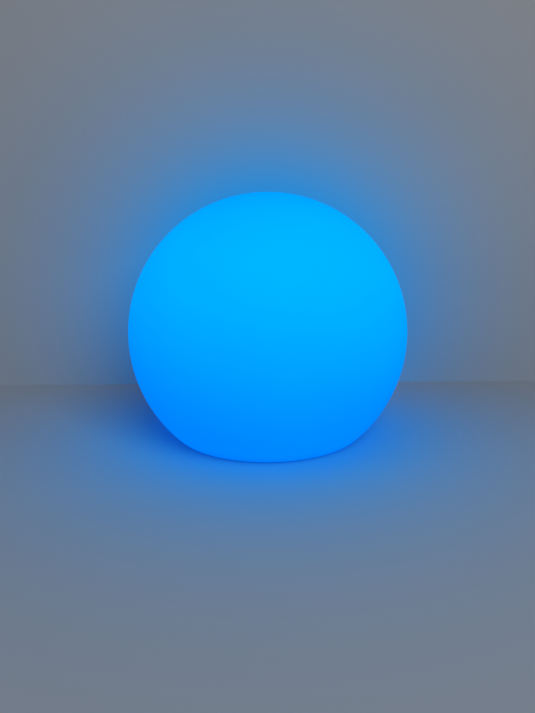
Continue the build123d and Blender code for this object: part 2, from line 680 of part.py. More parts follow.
with BuildPart() as button_seal:
    with BuildSketch(Plane.XY.offset(button_seal_bottom)):
        with Locations((0, button_y)):
            Circle(button_seal_radius)
            Circle(button_seal_radius - BUTTON_SEAL_SECTION, mode=Mode.SUBTRACT)
    extrude(amount=BUTTON_SEAL_SECTION)
button_seal.part.label = "button_seal"
export_step(button_seal.part, "parts/button_seal.step")

with BuildPart() as button_clip:
    with BuildSketch(Plane.XY.offset(guide_top + CLIP_GAP)):
        with Locations((0, button_y)):
            Circle(CLIP_RADIUS)
            Circle(STEM_RADIUS - CLIP_THICKNESS, mode=Mode.SUBTRACT)
        with Locations((0, button_y + CLIP_RADIUS)):
            Rectangle(CLIP_MOUTH, 2 * CLIP_RADIUS, mode=Mode.SUBTRACT)
    extrude(amount=CLIP_THICKNESS)
button_clip.part.label = "button_clip"
export_step(button_clip.part, "parts/button_clip.step")

with BuildPart() as switch_plunger:
    with BuildSketch(Plane.XY.offset(stem_top)):
        with Locations((0, button_y)):
            Circle(PLUNGER_RADIUS)
    extrude(amount=PLUNGER_OUT + PLUNGER_IN)
switch_plunger.part.label = "switch_plunger"
export_step(switch_plunger.part, "parts/switch_plunger.step")

# ------------------------------------------------------------------ charging socket
with BuildPart() as charge_socket:
    with BuildSketch(Plane.XY.offset(bung_seat)):
        with Locations((0, socket_y)):
            Circle(SOCKET_BUSH_RADIUS)
    extrude(amount=socket_shoulder - bung_seat)
    with BuildSketch(Plane.XY.offset(socket_shoulder)):
        with Locations((0, socket_y)):
            Circle(SOCKET_BODY_RADIUS)
    extrude(amount=board_bottom - socket_shoulder)
    with BuildSketch(Plane.XY.offset(bung_seat)):
        with Locations((0, socket_y)):
            Circle(SOCKET_BORE_RADIUS)
    extrude(amount=SOCKET_BORE_DEPTH, mode=Mode.SUBTRACT)
    face_circles = charge_socket.edges().filter_by(GeomType.CIRCLE).group_by(Axis.Z)[0]
    mouth = face_circles.sort_by(SortBy.RADIUS)[0]
    chamfer(mouth, SOCKET_LEAD_IN)
    with BuildSketch(Plane.XY.offset(bung_seat + SOCKET_BORE_DEPTH)):
        with Locations((0, socket_y)):
            Circle(PIN_RADIUS)
    extrude(amount=PIN_ROOT, mode=Mode.SUBTRACT)
charge_socket.part.label = "charge_socket"
export_step(charge_socket.part, "parts/charge_socket.step")

with BuildPart() as charge_pin:
    with BuildSketch(Plane.XY.offset(bung_seat + PIN_SET_BACK)):
        with Locations((0, socket_y)):
            Circle(PIN_RADIUS)
    extrude(amount=SOCKET_BORE_DEPTH + PIN_ROOT - PIN_SET_BACK)
    fillet(charge_pin.edges().group_by(Axis.Z)[0], PIN_RADIUS / 2)
charge_pin.part.label = "charge_pin"
export_step(charge_pin.part, "parts/charge_pin.step")

with BuildPart() as socket_washer:
    with BuildSketch(Plane.XY.offset(floor_top)):
        with Locations((0, socket_y)):
            Circle(SOCKET_BODY_RADIUS)
            Circle(SOCKET_BUSH_RADIUS, mode=Mode.SUBTRACT)
    extrude(amount=WASHER_THICKNESS)
socket_washer.part.label = "socket_washer"
export_step(socket_washer.part, "parts/socket_washer.step")

# ------------------------------------------------------------------ bung and the end pinned in the base
with BuildPart() as charge_bung:
    with BuildSketch(Plane.XY.offset(underside)):
        with Locations((0, socket_y)):
            Circle(BUNG_RADIUS)
    extrude(amount=BUNG_THICKNESS)
    with BuildSketch(Plane.XY.offset(underside)):
        with Locations((bung_hinge_x / 2, socket_y)):
            Rectangle(bung_hinge_x, STRAP_WIDTH)
    extrude(amount=STRAP_THICKNESS)
    with Locations((0, socket_y, bung_seat)):
        Cone(
            BUNG_PLUG_RADIUS,
            BUNG_PLUG_TIP_RADIUS,
            BUNG_PLUG_LENGTH,
            align=(Align.CENTER, Align.CENTER, Align.MIN),
        )
charge_bung.part.label = "charge_bung"
export_step(charge_bung.part, "parts/charge_bung.step")

with BuildPart() as bung_anchor:
    with BuildSketch(Plane.XY.offset(underside)):
        with Locations(((bung_hinge_x + anchor_x) / 2, socket_y)):
            Rectangle(anchor_x - bung_hinge_x, STRAP_WIDTH)
        with Locations((anchor_x, socket_y)):
            Circle(STRAP_WIDTH / 2)
    extrude(amount=STRAP_THICKNESS)
    with BuildSketch(Plane.XY.offset(underside)):
        with Locations((anchor_x, socket_y)):
            Circle(STRAP_WIDTH / 2)
    extrude(amount=BUNG_THICKNESS)
    with BuildSketch(Plane.XY.offset(underside)):
        with Locations((anchor_x, socket_y)):
            Circle(ANCHOR_STEM_RADIUS)
    extrude(amount=BASE_FLOOR)
    with Locations((anchor_x, socket_y, floor_top)):
        Cone(
            ANCHOR_HEAD_RADIUS,
            ANCHOR_STEM_RADIUS,
            ANCHOR_HEAD_HEIGHT,
            align=(Align.CENTER, Align.CENTER, Align.MIN),
        )
bung_anchor.part.label = "bung_anchor"
export_step(bung_anchor.part, "parts/bung_anchor.step")

# ------------------------------------------------------------------ battery
with BuildPart() as battery_holder:
    with BuildSketch(Plane.XY.offset(board_top)):
        Rectangle(2 * (holder_half + HOLDER_END), 2 * holder_half_width)
        Circle(board_radius, mode=Mode.INTERSECT)
    extrude(amount=cell_z - board_top)
    with BuildSketch(Plane.XY.offset(board_top)):
        for side in (-1, 1):
            with Locations((side * (holder_half + HOLDER_END / 2), 0)):
                Rectangle(HOLDER_END, 2 * holder_half_width)
        Circle(board_radius, mode=Mode.INTERSECT)
    extrude(amount=HOLDER_END_HEIGHT)
    with BuildSketch(Plane.YZ.offset(-holder_half)):
        with Locations((0, cell_z)):
            Circle(CELL_RADIUS + CELL_PLAY)
    extrude(amount=2 * holder_half, mode=Mode.SUBTRACT)
    for side in (-1, 1):
        with BuildSketch(Plane.XY.offset(board_top)):
            with Locations((side * (holder_half - CONTACT_THICKNESS / 2), 0)):
                Rectangle(CONTACT_THICKNESS, CONTACT_WIDTH)
        extrude(amount=HOLDER_END_HEIGHT, mode=Mode.SUBTRACT)
battery_holder.part.label = "battery_holder"
export_step(battery_holder.part, "parts/battery_holder.step")

with BuildPart() as battery_contacts:
    with BuildSketch(Plane.XY.offset(board_top)):
        for side in (-1, 1):
            with Locations((side * (holder_half - CONTACT_THICKNESS / 2), 0)):
                Rectangle(CONTACT_THICKNESS, CONTACT_WIDTH)
    extrude(amount=CONTACT_HEIGHT)
battery_contacts.part.label = "battery_contacts"
export_step(battery_contacts.part, "parts/battery_contacts.step")

with BuildPart() as battery_cell:
    with BuildSketch(Plane.YZ.offset(-holder_half + CONTACT_THICKNESS)):
        with Locations((0, cell_z)):
            Circle(CELL_RADIUS)
    extrude(amount=CELL_LENGTH)
    fillet(battery_cell.edges().filter_by(GeomType.CIRCLE), CELL_RADIUS / 10)
    with BuildSketch(Plane.YZ.offset(holder_half - CONTACT_THICKNESS - CELL_CAP_HEIGHT)):
        with Locations((0, cell_z)):
            Circle(CELL_CAP_RADIUS)
    extrude(amount=CELL_CAP_HEIGHT)
battery_cell.part.label = "battery_cell"
export_step(battery_cell.part, "parts/battery_cell.step")

# ------------------------------------------------------------------ frame and LED plate
with BuildPart() as inner_frame:
    with BuildSketch(Plane.XY.offset(board_top)):
        with Locations(*post_places):
            Circle(POST_RADIUS)
    extrude(amount=frame_bottom - board_top)
    with BuildSketch(Plane.XY.offset(frame_bottom)):
        Circle(led_plate_radius)
        with Locations(*post_places):
            Circle(POST_RADIUS)
        Circle(frame_bore_radius, mode=Mode.SUBTRACT)
    extrude(amount=FRAME_PLATE)
    with BuildSketch(Plane.XY.offset(board_top)):
        with Locations(*post_places):
            Circle(FRAME_SCREW_RADIUS + HOLE_PLAY)
    extrude(amount=frame_top - board_top, mode=Mode.SUBTRACT)
    with BuildSketch(Plane.XY.offset(frame_top)):
        with PolarLocations(plate_screw_circle, PLATE_SCREW_COUNT):
            Circle(PLATE_SCREW_RADIUS + THREAD_PLAY)
    extrude(amount=-FRAME_PLATE, mode=Mode.SUBTRACT)
inner_frame.part.label = "inner_frame"
export_step(inner_frame.part, "parts/inner_frame.step")

with BuildPart() as frame_screws:
    with BuildSketch(Plane.XY.offset(frame_top)):
        with Locations(*post_places):
            Circle(FRAME_SCREW_RADIUS)
    extrude(amount=-(frame_top - board_bottom + FRAME_SCREW_BITE))
    with BuildSketch(Plane.XY.offset(frame_top)):
        with Locations(*post_places):
            Circle(2 * FRAME_SCREW_RADIUS)
    extrude(amount=FRAME_SCREW_RADIUS)
    with BuildSketch(Plane.XY.offset(frame_top + FRAME_SCREW_RADIUS)):
        with Locations(*post_places):
            RegularPolygon(DRIVE_RADIUS, 6)
    extrude(amount=-FRAME_SCREW_RADIUS / 2, mode=Mode.SUBTRACT)
frame_screws.part.label = "frame_screws"
export_step(frame_screws.part, "parts/frame_screws.step")

with BuildPart() as led_plate:
    with BuildSketch(Plane.XY.offset(frame_top)):
        Circle(led_plate_radius)
        with Locations(*post_places):
            Circle(POST_RADIUS + BOARD_EDGE_GAP, mode=Mode.SUBTRACT)
        with PolarLocations(plate_screw_circle, PLATE_SCREW_COUNT):
            Circle(PLATE_SCREW_RADIUS + HOLE_PLAY, mode=Mode.SUBTRACT)
    extrude(amount=LED_PLATE_THICKNESS)
led_plate.part.label = "led_plate"
export_step(led_plate.part, "parts/led_plate.step")

with BuildPart() as plate_screws:
    with BuildSketch(Plane.XY.offset(led_plate_top)):
        with PolarLocations(plate_screw_circle, PLATE_SCREW_COUNT):
            Circle(PLATE_SCREW_RADIUS)
    extrude(amount=-PLATE_SCREW_LENGTH)
    with BuildSketch(Plane.XY.offset(led_plate_top)):
        with PolarLocations(plate_screw_circle, PLATE_SCREW_COUNT):
            Circle(2 * PLATE_SCREW_RADIUS)
    extrude(amount=PLATE_SCREW_RADIUS)
plate_screws.part.label = "plate_screws"
export_step(plate_screws.part, "parts/plate_screws.step")

with BuildPart() as led_chips:
    with BuildSketch(Plane.XY.offset(led_plate_top)):
        with PolarLocations(led_circle_radius, LED_COUNT, led_start_angle):
            Rectangle(LED_SIDE, LED_SIDE)
    extrude(amount=LED_HEIGHT)
    with BuildSketch(Plane.XY.offset(led_plate_top + LED_HEIGHT)):
        with PolarLocations(led_circle_radius, LED_COUNT, led_start_angle):
            Circle(LED_WINDOW_RADIUS)
    extrude(amount=-LED_HEIGHT / 4, mode=Mode.SUBTRACT)
led_chips.part.label = "led_chips"
export_step(led_chips.part, "parts/led_chips.step")

with BuildPart() as ir_receiver:
    with BuildSketch(Plane.XY.offset(led_plate_top)):
        Rectangle(RECEIVER_X_SIZE, RECEIVER_Y_SIZE)
    extrude(amount=RECEIVER_HEIGHT)
    fillet(ir_receiver.edges().filter_by(Axis.Z), RECEIVER_Y_SIZE / 8)
    with Locations((0, -RECEIVER_Y_SIZE / 2, led_plate_top + RECEIVER_HEIGHT - RECEIVER_EYE_RADIUS * 1.3)):
        Sphere(RECEIVER_EYE_RADIUS)
ir_receiver.part.label = "ir_receiver"
export_step(ir_receiver.part, "parts/ir_receiver.step")

# ------------------------------------------------------------------ connectors and leads
with BuildPart() as board_connector:
    with BuildSketch(Plane.XY.offset(board_top)):
        with Locations((0, connector_y)):
            Rectangle(CONNECTOR_X_SIZE, CONNECTOR_Y_SIZE)
    extrude(amount=CONNECTOR_HEIGHT)
board_connector.part.label = "board_connector"
export_step(board_connector.part, "parts/board_connector.step")

with BuildPart() as led_connector:
    with BuildSketch(Plane.XY.offset(frame_top)):
        with Locations((0, connector_y)):
            Rectangle(CONNECTOR_X_SIZE, CONNECTOR_Y_SIZE)
    extrude(amount=-CONNECTOR_HEIGHT)
led_connector.part.label = "led_connector"
export_step(led_connector.part, "parts/led_connector.step")

lead_bottom = board_top + CONNECTOR_HEIGHT
lead_top = frame_top - CONNECTOR_HEIGHT
lead_rise = lead_top - lead_bottom
for index, colour in enumerate(("red", "green", "blue", "white")):
    lead_x = (index - 1.5) * LEAD_PITCH
    with BuildPart() as lead:
        with BuildLine() as route:
            FilletPolyline(
                (lead_x, connector_y, lead_bottom),
                (lead_x, connector_y, lead_bottom + lead_rise / 5),
                (lead_x, connector_y - LEAD_BOW, lead_bottom + 2 * lead_rise / 5),
                (lead_x, connector_y - LEAD_BOW, lead_bottom + 3 * lead_rise / 5),
                (lead_x, connector_y, lead_bottom + 4 * lead_rise / 5),
                (lead_x, connector_y, lead_top),
                radius=LEAD_RADIUS * 4,
            )
        with BuildSketch(Plane.XY.offset(lead_bottom)):
            with Locations((lead_x, connector_y)):
                Circle(LEAD_RADIUS)
        sweep(path=route.wires()[0])
    lead.part.label = f"lead_{colour}"
    export_step(lead.part, f"parts/lead_{colour}.step")

# ------------------------------------------------------------------ lens
with BuildPart() as lens_gasket:
    with BuildSketch(Plane.XY.offset(barrel_top)):
        Circle(barrel_radius - LENS_GASKET_EDGE)
        Circle(bore_radius, mode=Mode.SUBTRACT)
        with PolarLocations(lens_boss_circle, LENS_BOSS_COUNT):
            Circle(LENS_BOSS_RADIUS)
            Circle(LENS_SCREW_RADIUS + HOLE_PLAY, mode=Mode.SUBTRACT)
    extrude(amount=LENS_GASKET)
lens_gasket.part.label = "lens_gasket"
export_step(lens_gasket.part, "parts/lens_gasket.step")

with BuildPart() as lens_dome:
    dome_radius = (lens_radius**2 + LENS_RISE**2) / (2 * LENS_RISE)
    with BuildSketch(Plane.XZ):
        with Locations((0, lens_flange_bottom + LENS_RISE - dome_radius)):
            Circle(dome_radius)
            Circle(dome_radius - LENS_WALL, mode=Mode.SUBTRACT)
        with Locations((0, lens_flange_bottom)):
            Rectangle(lens_radius, LENS_RISE, align=Align.MIN, mode=Mode.INTERSECT)
    revolve(axis=Axis.Z)
    with BuildSketch(Plane.XY.offset(lens_flange_bottom)):
        Circle(barrel_radius)
        Circle(lens_radius - LENS_WALL / 2, mode=Mode.SUBTRACT)
        with PolarLocations(lens_boss_circle, LENS_BOSS_COUNT):
            Circle(LENS_SCREW_RADIUS + HOLE_PLAY, mode=Mode.SUBTRACT)
    extrude(amount=LENS_FLANGE)
lens_dome.part.label = "lens_dome"
export_step(lens_dome.part, "parts/lens_dome.step")

with BuildPart() as lens_screws:
    with BuildSketch(Plane.XY.offset(lens_flange_top)):
        with PolarLocations(lens_boss_circle, LENS_BOSS_COUNT):
            Circle(LENS_SCREW_RADIUS)
    extrude(amount=-LENS_SCREW_LENGTH)
    with BuildSketch(Plane.XY.offset(lens_flange_top)):
        with PolarLocations(lens_boss_circle, LENS_BOSS_COUNT):
            Circle(2 * LENS_SCREW_RADIUS)
    extrude(amount=LENS_SCREW_RADIUS)
    with BuildSketch(Plane.XY.offset(lens_flange_top + LENS_SCREW_RADIUS)):
        with PolarLocations(lens_boss_circle, LENS_BOSS_COUNT):
            RegularPolygon(DRIVE_RADIUS, 6)
    extrude(amount=-LENS_SCREW_RADIUS / 2, mode=Mode.SUBTRACT)
lens_screws.part.label = "lens_screws"
export_step(lens_screws.part, "parts/lens_screws.step")
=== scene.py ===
"""The looks of a garden globe light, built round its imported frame.

Metres, with Z up and the origin in the middle of the base that the ball stands on.
Each sub-assembly is a class that models and dresses its own pieces, and each finish
is a small frozen dataclass that lays out one material.
"""

import logging
import math
from dataclasses import dataclass, field
from enum import Enum
from typing import Callable

import bmesh
import bpy
from mathutils import Matrix, Vector


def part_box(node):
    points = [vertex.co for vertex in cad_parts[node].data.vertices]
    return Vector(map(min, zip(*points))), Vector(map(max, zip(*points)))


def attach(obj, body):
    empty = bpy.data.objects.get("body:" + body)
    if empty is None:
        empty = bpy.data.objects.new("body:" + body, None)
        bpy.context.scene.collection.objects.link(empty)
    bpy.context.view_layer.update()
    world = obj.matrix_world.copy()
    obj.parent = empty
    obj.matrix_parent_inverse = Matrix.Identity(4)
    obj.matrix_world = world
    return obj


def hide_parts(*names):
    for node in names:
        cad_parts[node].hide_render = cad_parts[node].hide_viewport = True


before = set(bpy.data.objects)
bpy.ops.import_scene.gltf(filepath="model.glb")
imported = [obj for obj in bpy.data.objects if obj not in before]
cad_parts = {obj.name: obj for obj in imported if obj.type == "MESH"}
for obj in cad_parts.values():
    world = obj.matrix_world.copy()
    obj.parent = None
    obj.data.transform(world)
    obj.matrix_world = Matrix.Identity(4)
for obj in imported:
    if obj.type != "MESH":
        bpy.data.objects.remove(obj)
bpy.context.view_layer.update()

LOG = logging.getLogger("globe_light")
Form = bmesh.types.BMesh
Node = bpy.types.Node
Socket = bpy.types.NodeSocket
Pair = tuple[float, float]
Point = Pair
Triple = tuple[float, float, float]
Colour = Triple


class Body(str, Enum):
    """The moving bodies of the light."""

    GLOBE = "globe"
    MODULE = "lamp_module"
    BUTTON = "power_button"
    BUNG = "charge_bung"


class Slot(str, Enum):
    """Names of the record's material slots, listed with the scene's own pieces."""

    LIT_SHELL = "lit_shell"
    GREY_PLASTIC = "grey_plastic"
    WHITE_PLASTIC = "white_plastic"
    BLACK_PLASTIC = "black_plastic"
    CLEAR_PLASTIC = "clear_plastic"
    SOFT_SILICONE = "soft_silicone"
    BLACK_SILICONE = "black_silicone"
    LED_WHITE = "led_white"
    CELL_WRAP = "cell_wrap"
    ALUMINIUM = "aluminium"
    STEEL = "steel"
    BRASS = "brass"


class Cut(str, Enum):
    """What one form does to another."""

    REMOVE = "DIFFERENCE"
    JOIN = "UNION"


class Twist(int, Enum):
    """The two ways to turn the lamp module, as signs of an angle about Z."""

    LOCK = 1
    UNLOCK = -1


class ChipPart(int, Enum):
    """The two kinds of chip part, which take turns along the board's rows."""

    RESISTOR = 0
    CAPACITOR = 1


def foot_of(node: str) -> float:
    """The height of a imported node's underside."""
    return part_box(node)[0].z


def top_of(node: str) -> float:
    """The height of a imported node's top."""
    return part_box(node)[1].z


def middle_of(node: str) -> Vector:
    """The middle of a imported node's box."""
    return (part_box(node)[0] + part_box(node)[1]) / 2


MM = 0.001
BALL_RADIUS = 100 * MM
BALL_MIDDLE = (0.0, 0.0, top_of("globe_shell") - BALL_RADIUS)
UNDERSIDE = foot_of("status_light_pipe")  # the light pipe ends flush with the lamp module's underside
MERGE_GAP = 1e-7
DRILL_ROUND = 0.1 * MM
PIN_ROUND = 0.05 * MM
PRESSED_EDGE = 0.04 * MM
TINNED_EDGE = 0.06 * MM
CASE_EDGE = 0.15 * MM


# ---------------------------------------------------------------- laying out materials
class Bench:
    """Adds nodes to one tree and joins them.

    Args:
        tree: The node tree of a material or of a shared group.
    """

    def __init__(self, tree: bpy.types.NodeTree) -> None:
        """Keep the tree to work on."""
        self.tree = tree

    def feed(self, source: object, target: Socket) -> None:
        """Link a socket to the target, or set the target's own value.

        Args:
            source: A socket, a colour, a vector or a number.
            target: The input that takes it.
        """
        if isinstance(source, Socket):
            self.tree.links.new(source, target)
        elif isinstance(source, tuple) and len(source) == 3 and target.type == "RGBA":
            target.default_value = (*source, 1.0)
        else:
            target.default_value = source

    def fill(self, node: Node, inputs: dict[str | int, object]) -> None:
        """Feed several inputs of a node, by name or number."""
        for name, value in inputs.items():
            self.feed(value, node.inputs[name])

    def node(self, kind: str, inputs: dict[str | int, object] | None = None, **settings: object) -> Node:
        """Add one node.

        Args:
            kind: The node's class name.
            inputs: Values or sockets for its inputs, by name or number.
            **settings: The node's own properties.

        Returns:
            The new node.
        """
        made = self.tree.nodes.new(kind)
        for name, value in settings.items():
            setattr(made, name, value)
        self.fill(made, inputs or {})
        return made

    def math(self, operation: str, first: object, second: object = 0.0, third: object = 0.0) -> Socket:
        """Combine two or three values and return the result's socket."""
        return self.node("ShaderNodeMath", {0: first, 1: second, 2: third}, operation=operation).outputs[0]

    def mix(self, first: object, second: object, share: object) -> Socket:
        """Mix two colours by a share from 0 to 1 and return the colour's socket."""
        return self.node("ShaderNodeMix", {0: share, 6: first, 7: second}, data_type="RGBA").outputs[2]

    def mix_value(self, first: object, second: object, share: object) -> Socket:
        """Mix two values by a share from 0 to 1 and return the value's socket."""
        return self.node("ShaderNodeMix", {0: share, 2: first, 3: second}).outputs[0]

    def remap(self, value: Socket, start: float, end: float, low: float = 0.0, high: float = 1.0) -> Socket:
        """Map a value smoothly from one range to another, held at its ends.

        Args:
            value: The value's socket.
            start: The value that becomes low.
            end: The value that becomes high.
            low: The result at the start.
            high: The result at the end.

        Returns:
            The result's socket.
        """
        inputs = {"Value": value, "From Min": start, "From Max": end, "To Min": low, "To Max": high}
        return self.node("ShaderNodeMapRange", inputs, interpolation_type="SMOOTHSTEP").outputs["Result"]

    def spread(self, noise: Socket, low: float, high: float) -> Socket:
        """Map the range that noise mostly keeps to, 0.3 to 0.7, to another range."""
        return self.remap(noise, 0.3, 0.7, low, high)

    def noise(
        self, place: Socket, scale: object, detail: float = 2.0, stretch: Triple | None = None
    ) -> Socket:
        """Make noise over a place.

        Args:
            place: Where the noise is read.
            scale: How fine it is.
            detail: How many finer layers it has.
            stretch: Factors for the place along its axes, if it is stretched.

        Returns:
            The noise's value.
        """
        if stretch:
            place = self.node("ShaderNodeMapping", {"Vector": place, "Scale": stretch}).outputs[0]
        made = self.node("ShaderNodeTexNoise", {"Vector": place, "Scale": scale, "Detail": detail})
        return made.outputs["Fac"]

    def bump(self, height: Socket, depth: float, strength: float) -> Socket:
        """Turn a height from 0 to 1 into a normal, with its depth in metres."""
        inputs = {"Height": height, "Distance": depth, "Strength": strength}
        return self.node("ShaderNodeBump", inputs).outputs["Normal"]


def toned(colour: Colour, factor: float, lift: float = 0.0) -> Colour:
    """A colour made paler or darker by a factor, then lifted, and held at white."""
    return tuple(min(1.0, channel * factor + lift) for channel in colour)


class SharedGroup:
    """A shader node group that several materials place with their own values.

    Args:
        name: The group's name.
        inputs: Names of its inputs, with their socket types and first values.
        outputs: Names of its outputs, with their socket types.
        lay_out: Lays the group's nodes between its input and output nodes.
    """

    def __init__(
        self,
        name: str,
        inputs: dict[str, tuple[str, object]],
        outputs: dict[str, str],
        lay_out: Callable[[Bench, Node], dict[str, Socket]],
    ) -> None:
        """Build the group once."""
        self.tree = bpy.data.node_groups.new(name, "ShaderNodeTree")
        for label, (kind, value) in inputs.items():
            made = self.tree.interface.new_socket(name=label, in_out="INPUT", socket_type=kind)
            if value is not None:
                made.default_value = value
        for label, kind in outputs.items():
            self.tree.interface.new_socket(name=label, in_out="OUTPUT", socket_type=kind)
        bench = Bench(self.tree)
        entry = bench.node("NodeGroupInput")
        leave = bench.node("NodeGroupOutput")
        bench.fill(leave, lay_out(bench, entry))

    def place(self, bench: Bench, **values: object) -> Node:
        """Put the group in a material, with values for its inputs, and return its node."""
        return bench.node("ShaderNodeGroup", values, node_tree=self.tree)


def lay_out_grain(bench: Bench, entry: Node) -> dict[str, Socket]:
    """Spark-eroded mould grain: fine pits over a slow waviness.

    Args:
        bench: Lays the group's nodes.
        entry: The group's input node.

    Returns:
        The surface's height, and the waviness alone as a slow tone.
    """
    place, scale = entry.outputs["Place"], entry.outputs["Scale"]
    wave_scale, pit_share = 0.04, 0.7
    pits = bench.noise(place, scale, detail=3.0)
    waves = bench.noise(place, bench.math("MULTIPLY", scale, wave_scale), detail=1.0)
    waved = bench.math("MULTIPLY", waves, 1.0 - pit_share)
    return {"Height": bench.math("MULTIPLY_ADD", pits, pit_share, waved), "Tone": waves}


def lay_out_scuffs(bench: Bench, entry: Node) -> dict[str, Socket]:
    """Short, thin rub marks that run several ways and bend a little, thinned out by patches.

    Args:
        bench: Lays the group's nodes.
        entry: The group's input node.

    Returns:
        A mask that is 1 on a mark at full amount.
    """
    place, scale = entry.outputs["Place"], entry.outputs["Scale"]
    bend, drift_scale, patch_scale = 12 * MM, 0.3, 0.6
    directions = ((0.2, 0.9, 0.4), (1.1, 0.3, 1.5), (0.7, 1.6, 2.6))
    thinning = (1.0, 15.0, 9.0)
    slow = bench.math("MULTIPLY", scale, drift_scale)
    drift = bench.node("ShaderNodeTexNoise", {"Vector": place, "Scale": slow, "Detail": 1.0})
    inputs = {0: drift.outputs["Color"], 1: (bend, bend, bend), 2: place}
    bent = bench.node("ShaderNodeVectorMath", inputs, operation="MULTIPLY_ADD").outputs[0]
    marks = 0.0
    for direction in directions:
        inputs = {"Vector": bent, "Rotation": direction}
        turned = bench.node("ShaderNodeVectorRotate", inputs, rotation_type="EULER_XYZ").outputs[0]
        lines = bench.noise(turned, scale, stretch=thinning)
        marks = bench.math("MAXIMUM", marks, bench.remap(lines, 0.68, 0.76))
    patches = bench.noise(place, bench.math("MULTIPLY", scale, patch_scale), detail=1.0)
    kept = bench.math("MULTIPLY", marks, bench.remap(patches, 0.45, 0.6))
    return {"Mask": bench.math("MULTIPLY", kept, entry.outputs["Amount"])}


def lay_out_dust(bench: Bench, entry: Node) -> dict[str, Socket]:
    """A colour with a thin, cloudy film of pale dust on it.

    Args:
        bench: Lays the group's nodes.
        entry: The group's input node.

    Returns:
        The dusty colour.
    """
    inputs = {"Vector": entry.outputs["Place"], "Scale": 60.0, "Detail": 5.0, "Roughness": 0.6}
    clouds = bench.node("ShaderNodeTexNoise", inputs).outputs["Fac"]
    share = bench.math("MULTIPLY", bench.remap(clouds, 0.42, 0.72), entry.outputs["Amount"])
    return {"Colour": bench.mix(entry.outputs["Colour"], entry.outputs["Dust"], share)}


VALUE, TINT, PLACE = "NodeSocketFloat", "NodeSocketColor", "NodeSocketVector"
GRAIN = SharedGroup(
    "Mould Grain",
    {"Place": (PLACE, None), "Scale": (VALUE, 900.0)},
    {"Height": VALUE, "Tone": VALUE},
    lay_out_grain,
)
SCUFFS = SharedGroup(
    "Rub Marks",
    {"Place": (PLACE, None), "Scale": (VALUE, 120.0), "Amount": (VALUE, 0.5)},
    {"Mask": VALUE},
    lay_out_scuffs,
)
DUST = SharedGroup(
    "Dust Film",
    {
        "Place": (PLACE, None),
        "Colour": (TINT, (0.5, 0.5, 0.5, 1.0)),
        "Dust": (TINT, (0.6, 0.57, 0.52, 1.0)),
        "Amount": (VALUE, 0.2),
    },
    {"Colour": TINT},
    lay_out_dust,
)


# ---------------------------------------------------------------- finishes
@dataclass(frozen=True)
class Finish:
    """One material of the light."""

    name: str

    def lay_out(self, bench: Bench, place: Socket) -> dict[str, object]:
        """Lay this finish's nodes.

        Args:
            bench: Lays the nodes.
            place: The piece's Object coordinates.

        Returns:
            Sockets and values for the shader's inputs, by name.
        """
        raise NotImplementedError

    def make(self) -> bpy.types.Material:
        """Build the material.

        Returns:
            The new material.
        """
        material = bpy.data.materials.new(self.name)
        material.use_nodes = True
        material.node_tree.nodes.clear()
        bench = Bench(material.node_tree)
        output = bench.node("ShaderNodeOutputMaterial")
        shader = bench.node("ShaderNodeBsdfPrincipled")
        bench.feed(shader.outputs["BSDF"], output.inputs["Surface"])
        place = bench.node("ShaderNodeTexCoord").outputs["Object"]
        bench.fill(shader, self.lay_out(bench, place))
        return material


@dataclass(frozen=True)
class LitShell(Finish):
    """Translucent rotomoulded polyethylene, lit blue from inside.

    The glow's green follows a curve over the height, in ball radii from the middle, so the
    glow is brightest over the lamp's dome and falls off towards the base. A small share of green also rises
    towards +X, a painted light on that side. Its blue is even.
    """

    skin: Colour = (0.0, 0.14, 0.27)
    worn_skin: Colour = (0.0, 0.27, 0.44)
    green_middle: float = 0.240
    green_rise: float = 0.166
    green_square: float = 0.017
    green_cube: float = -0.196
    # Painted light: a small rise of green towards +X paints that side of the ball lighter.
    green_painted_side_light: float = 0.007
    blue: float = 0.93
    mottle: float = 0.015
    base_fade: float = 9 * MM
    base_level: float = 0.8
    worn_height: float = 1.2 * MM
    rough: float = 0.62

    def glow(self, bench: Bench, place: Socket) -> Socket:
        """The colour that the shell gives off.

        Args:
            bench: Lays the nodes.
            place: The piece's Object coordinates.

        Returns:
            The colour's socket.
        """
        x, _, z = bench.node("ShaderNodeSeparateXYZ", {0: place}).outputs
        side = bench.math("DIVIDE", x, BALL_RADIUS)
        height = bench.math("DIVIDE", bench.math("SUBTRACT", z, BALL_MIDDLE[2]), BALL_RADIUS)
        square = bench.math("MULTIPLY", height, height)
        cube = bench.math("MULTIPLY", square, height)
        green = bench.math("MULTIPLY_ADD", height, self.green_rise, self.green_middle)
        # The X term paints the +X side lighter, as light falling from that side.
        for term, share in ((square, self.green_square), (cube, self.green_cube), (side, self.green_painted_side_light)):
            green = bench.math("MULTIPLY_ADD", term, share, green)
        clouds = bench.noise(place, 26.0, detail=3.0)
        mottled = bench.spread(clouds, 1.0 - self.mottle, 1.0 + self.mottle)
        light = bench.math("MULTIPLY", mottled, bench.remap(z, 0.0, self.base_fade, self.base_level))
        green = bench.math("MULTIPLY", green, light)
        blue = bench.math("MULTIPLY", light, self.blue)
        return bench.node("ShaderNodeCombineColor", {"Red": 0.0, "Green": green, "Blue": blue}).outputs[0]

    def lay_out(self, bench: Bench, place: Socket) -> dict[str, object]:
        """Join the glow, the rubbed foot and the matte moulded surface."""
        height = bench.node("ShaderNodeSeparateXYZ", {0: place}).outputs["Z"]
        grain = GRAIN.place(bench, Place=place, Scale=700.0)
        foot = bench.remap(height, 0.0, self.worn_height, 1.0, 0.0)
        scuffs = SCUFFS.place(bench, Place=place, Scale=90.0, Amount=foot)
        return {
            "Emission Color": self.glow(bench, place),
            "Emission Strength": 1.0,
            "Base Color": bench.mix(self.skin, self.worn_skin, scuffs.outputs["Mask"]),
            "Roughness": bench.spread(grain.outputs["Tone"], self.rough, self.rough + 0.1),
            "Specular IOR Level": 0.0,
            "Normal": bench.bump(grain.outputs["Height"], 0.02 * MM, 0.35),
        }


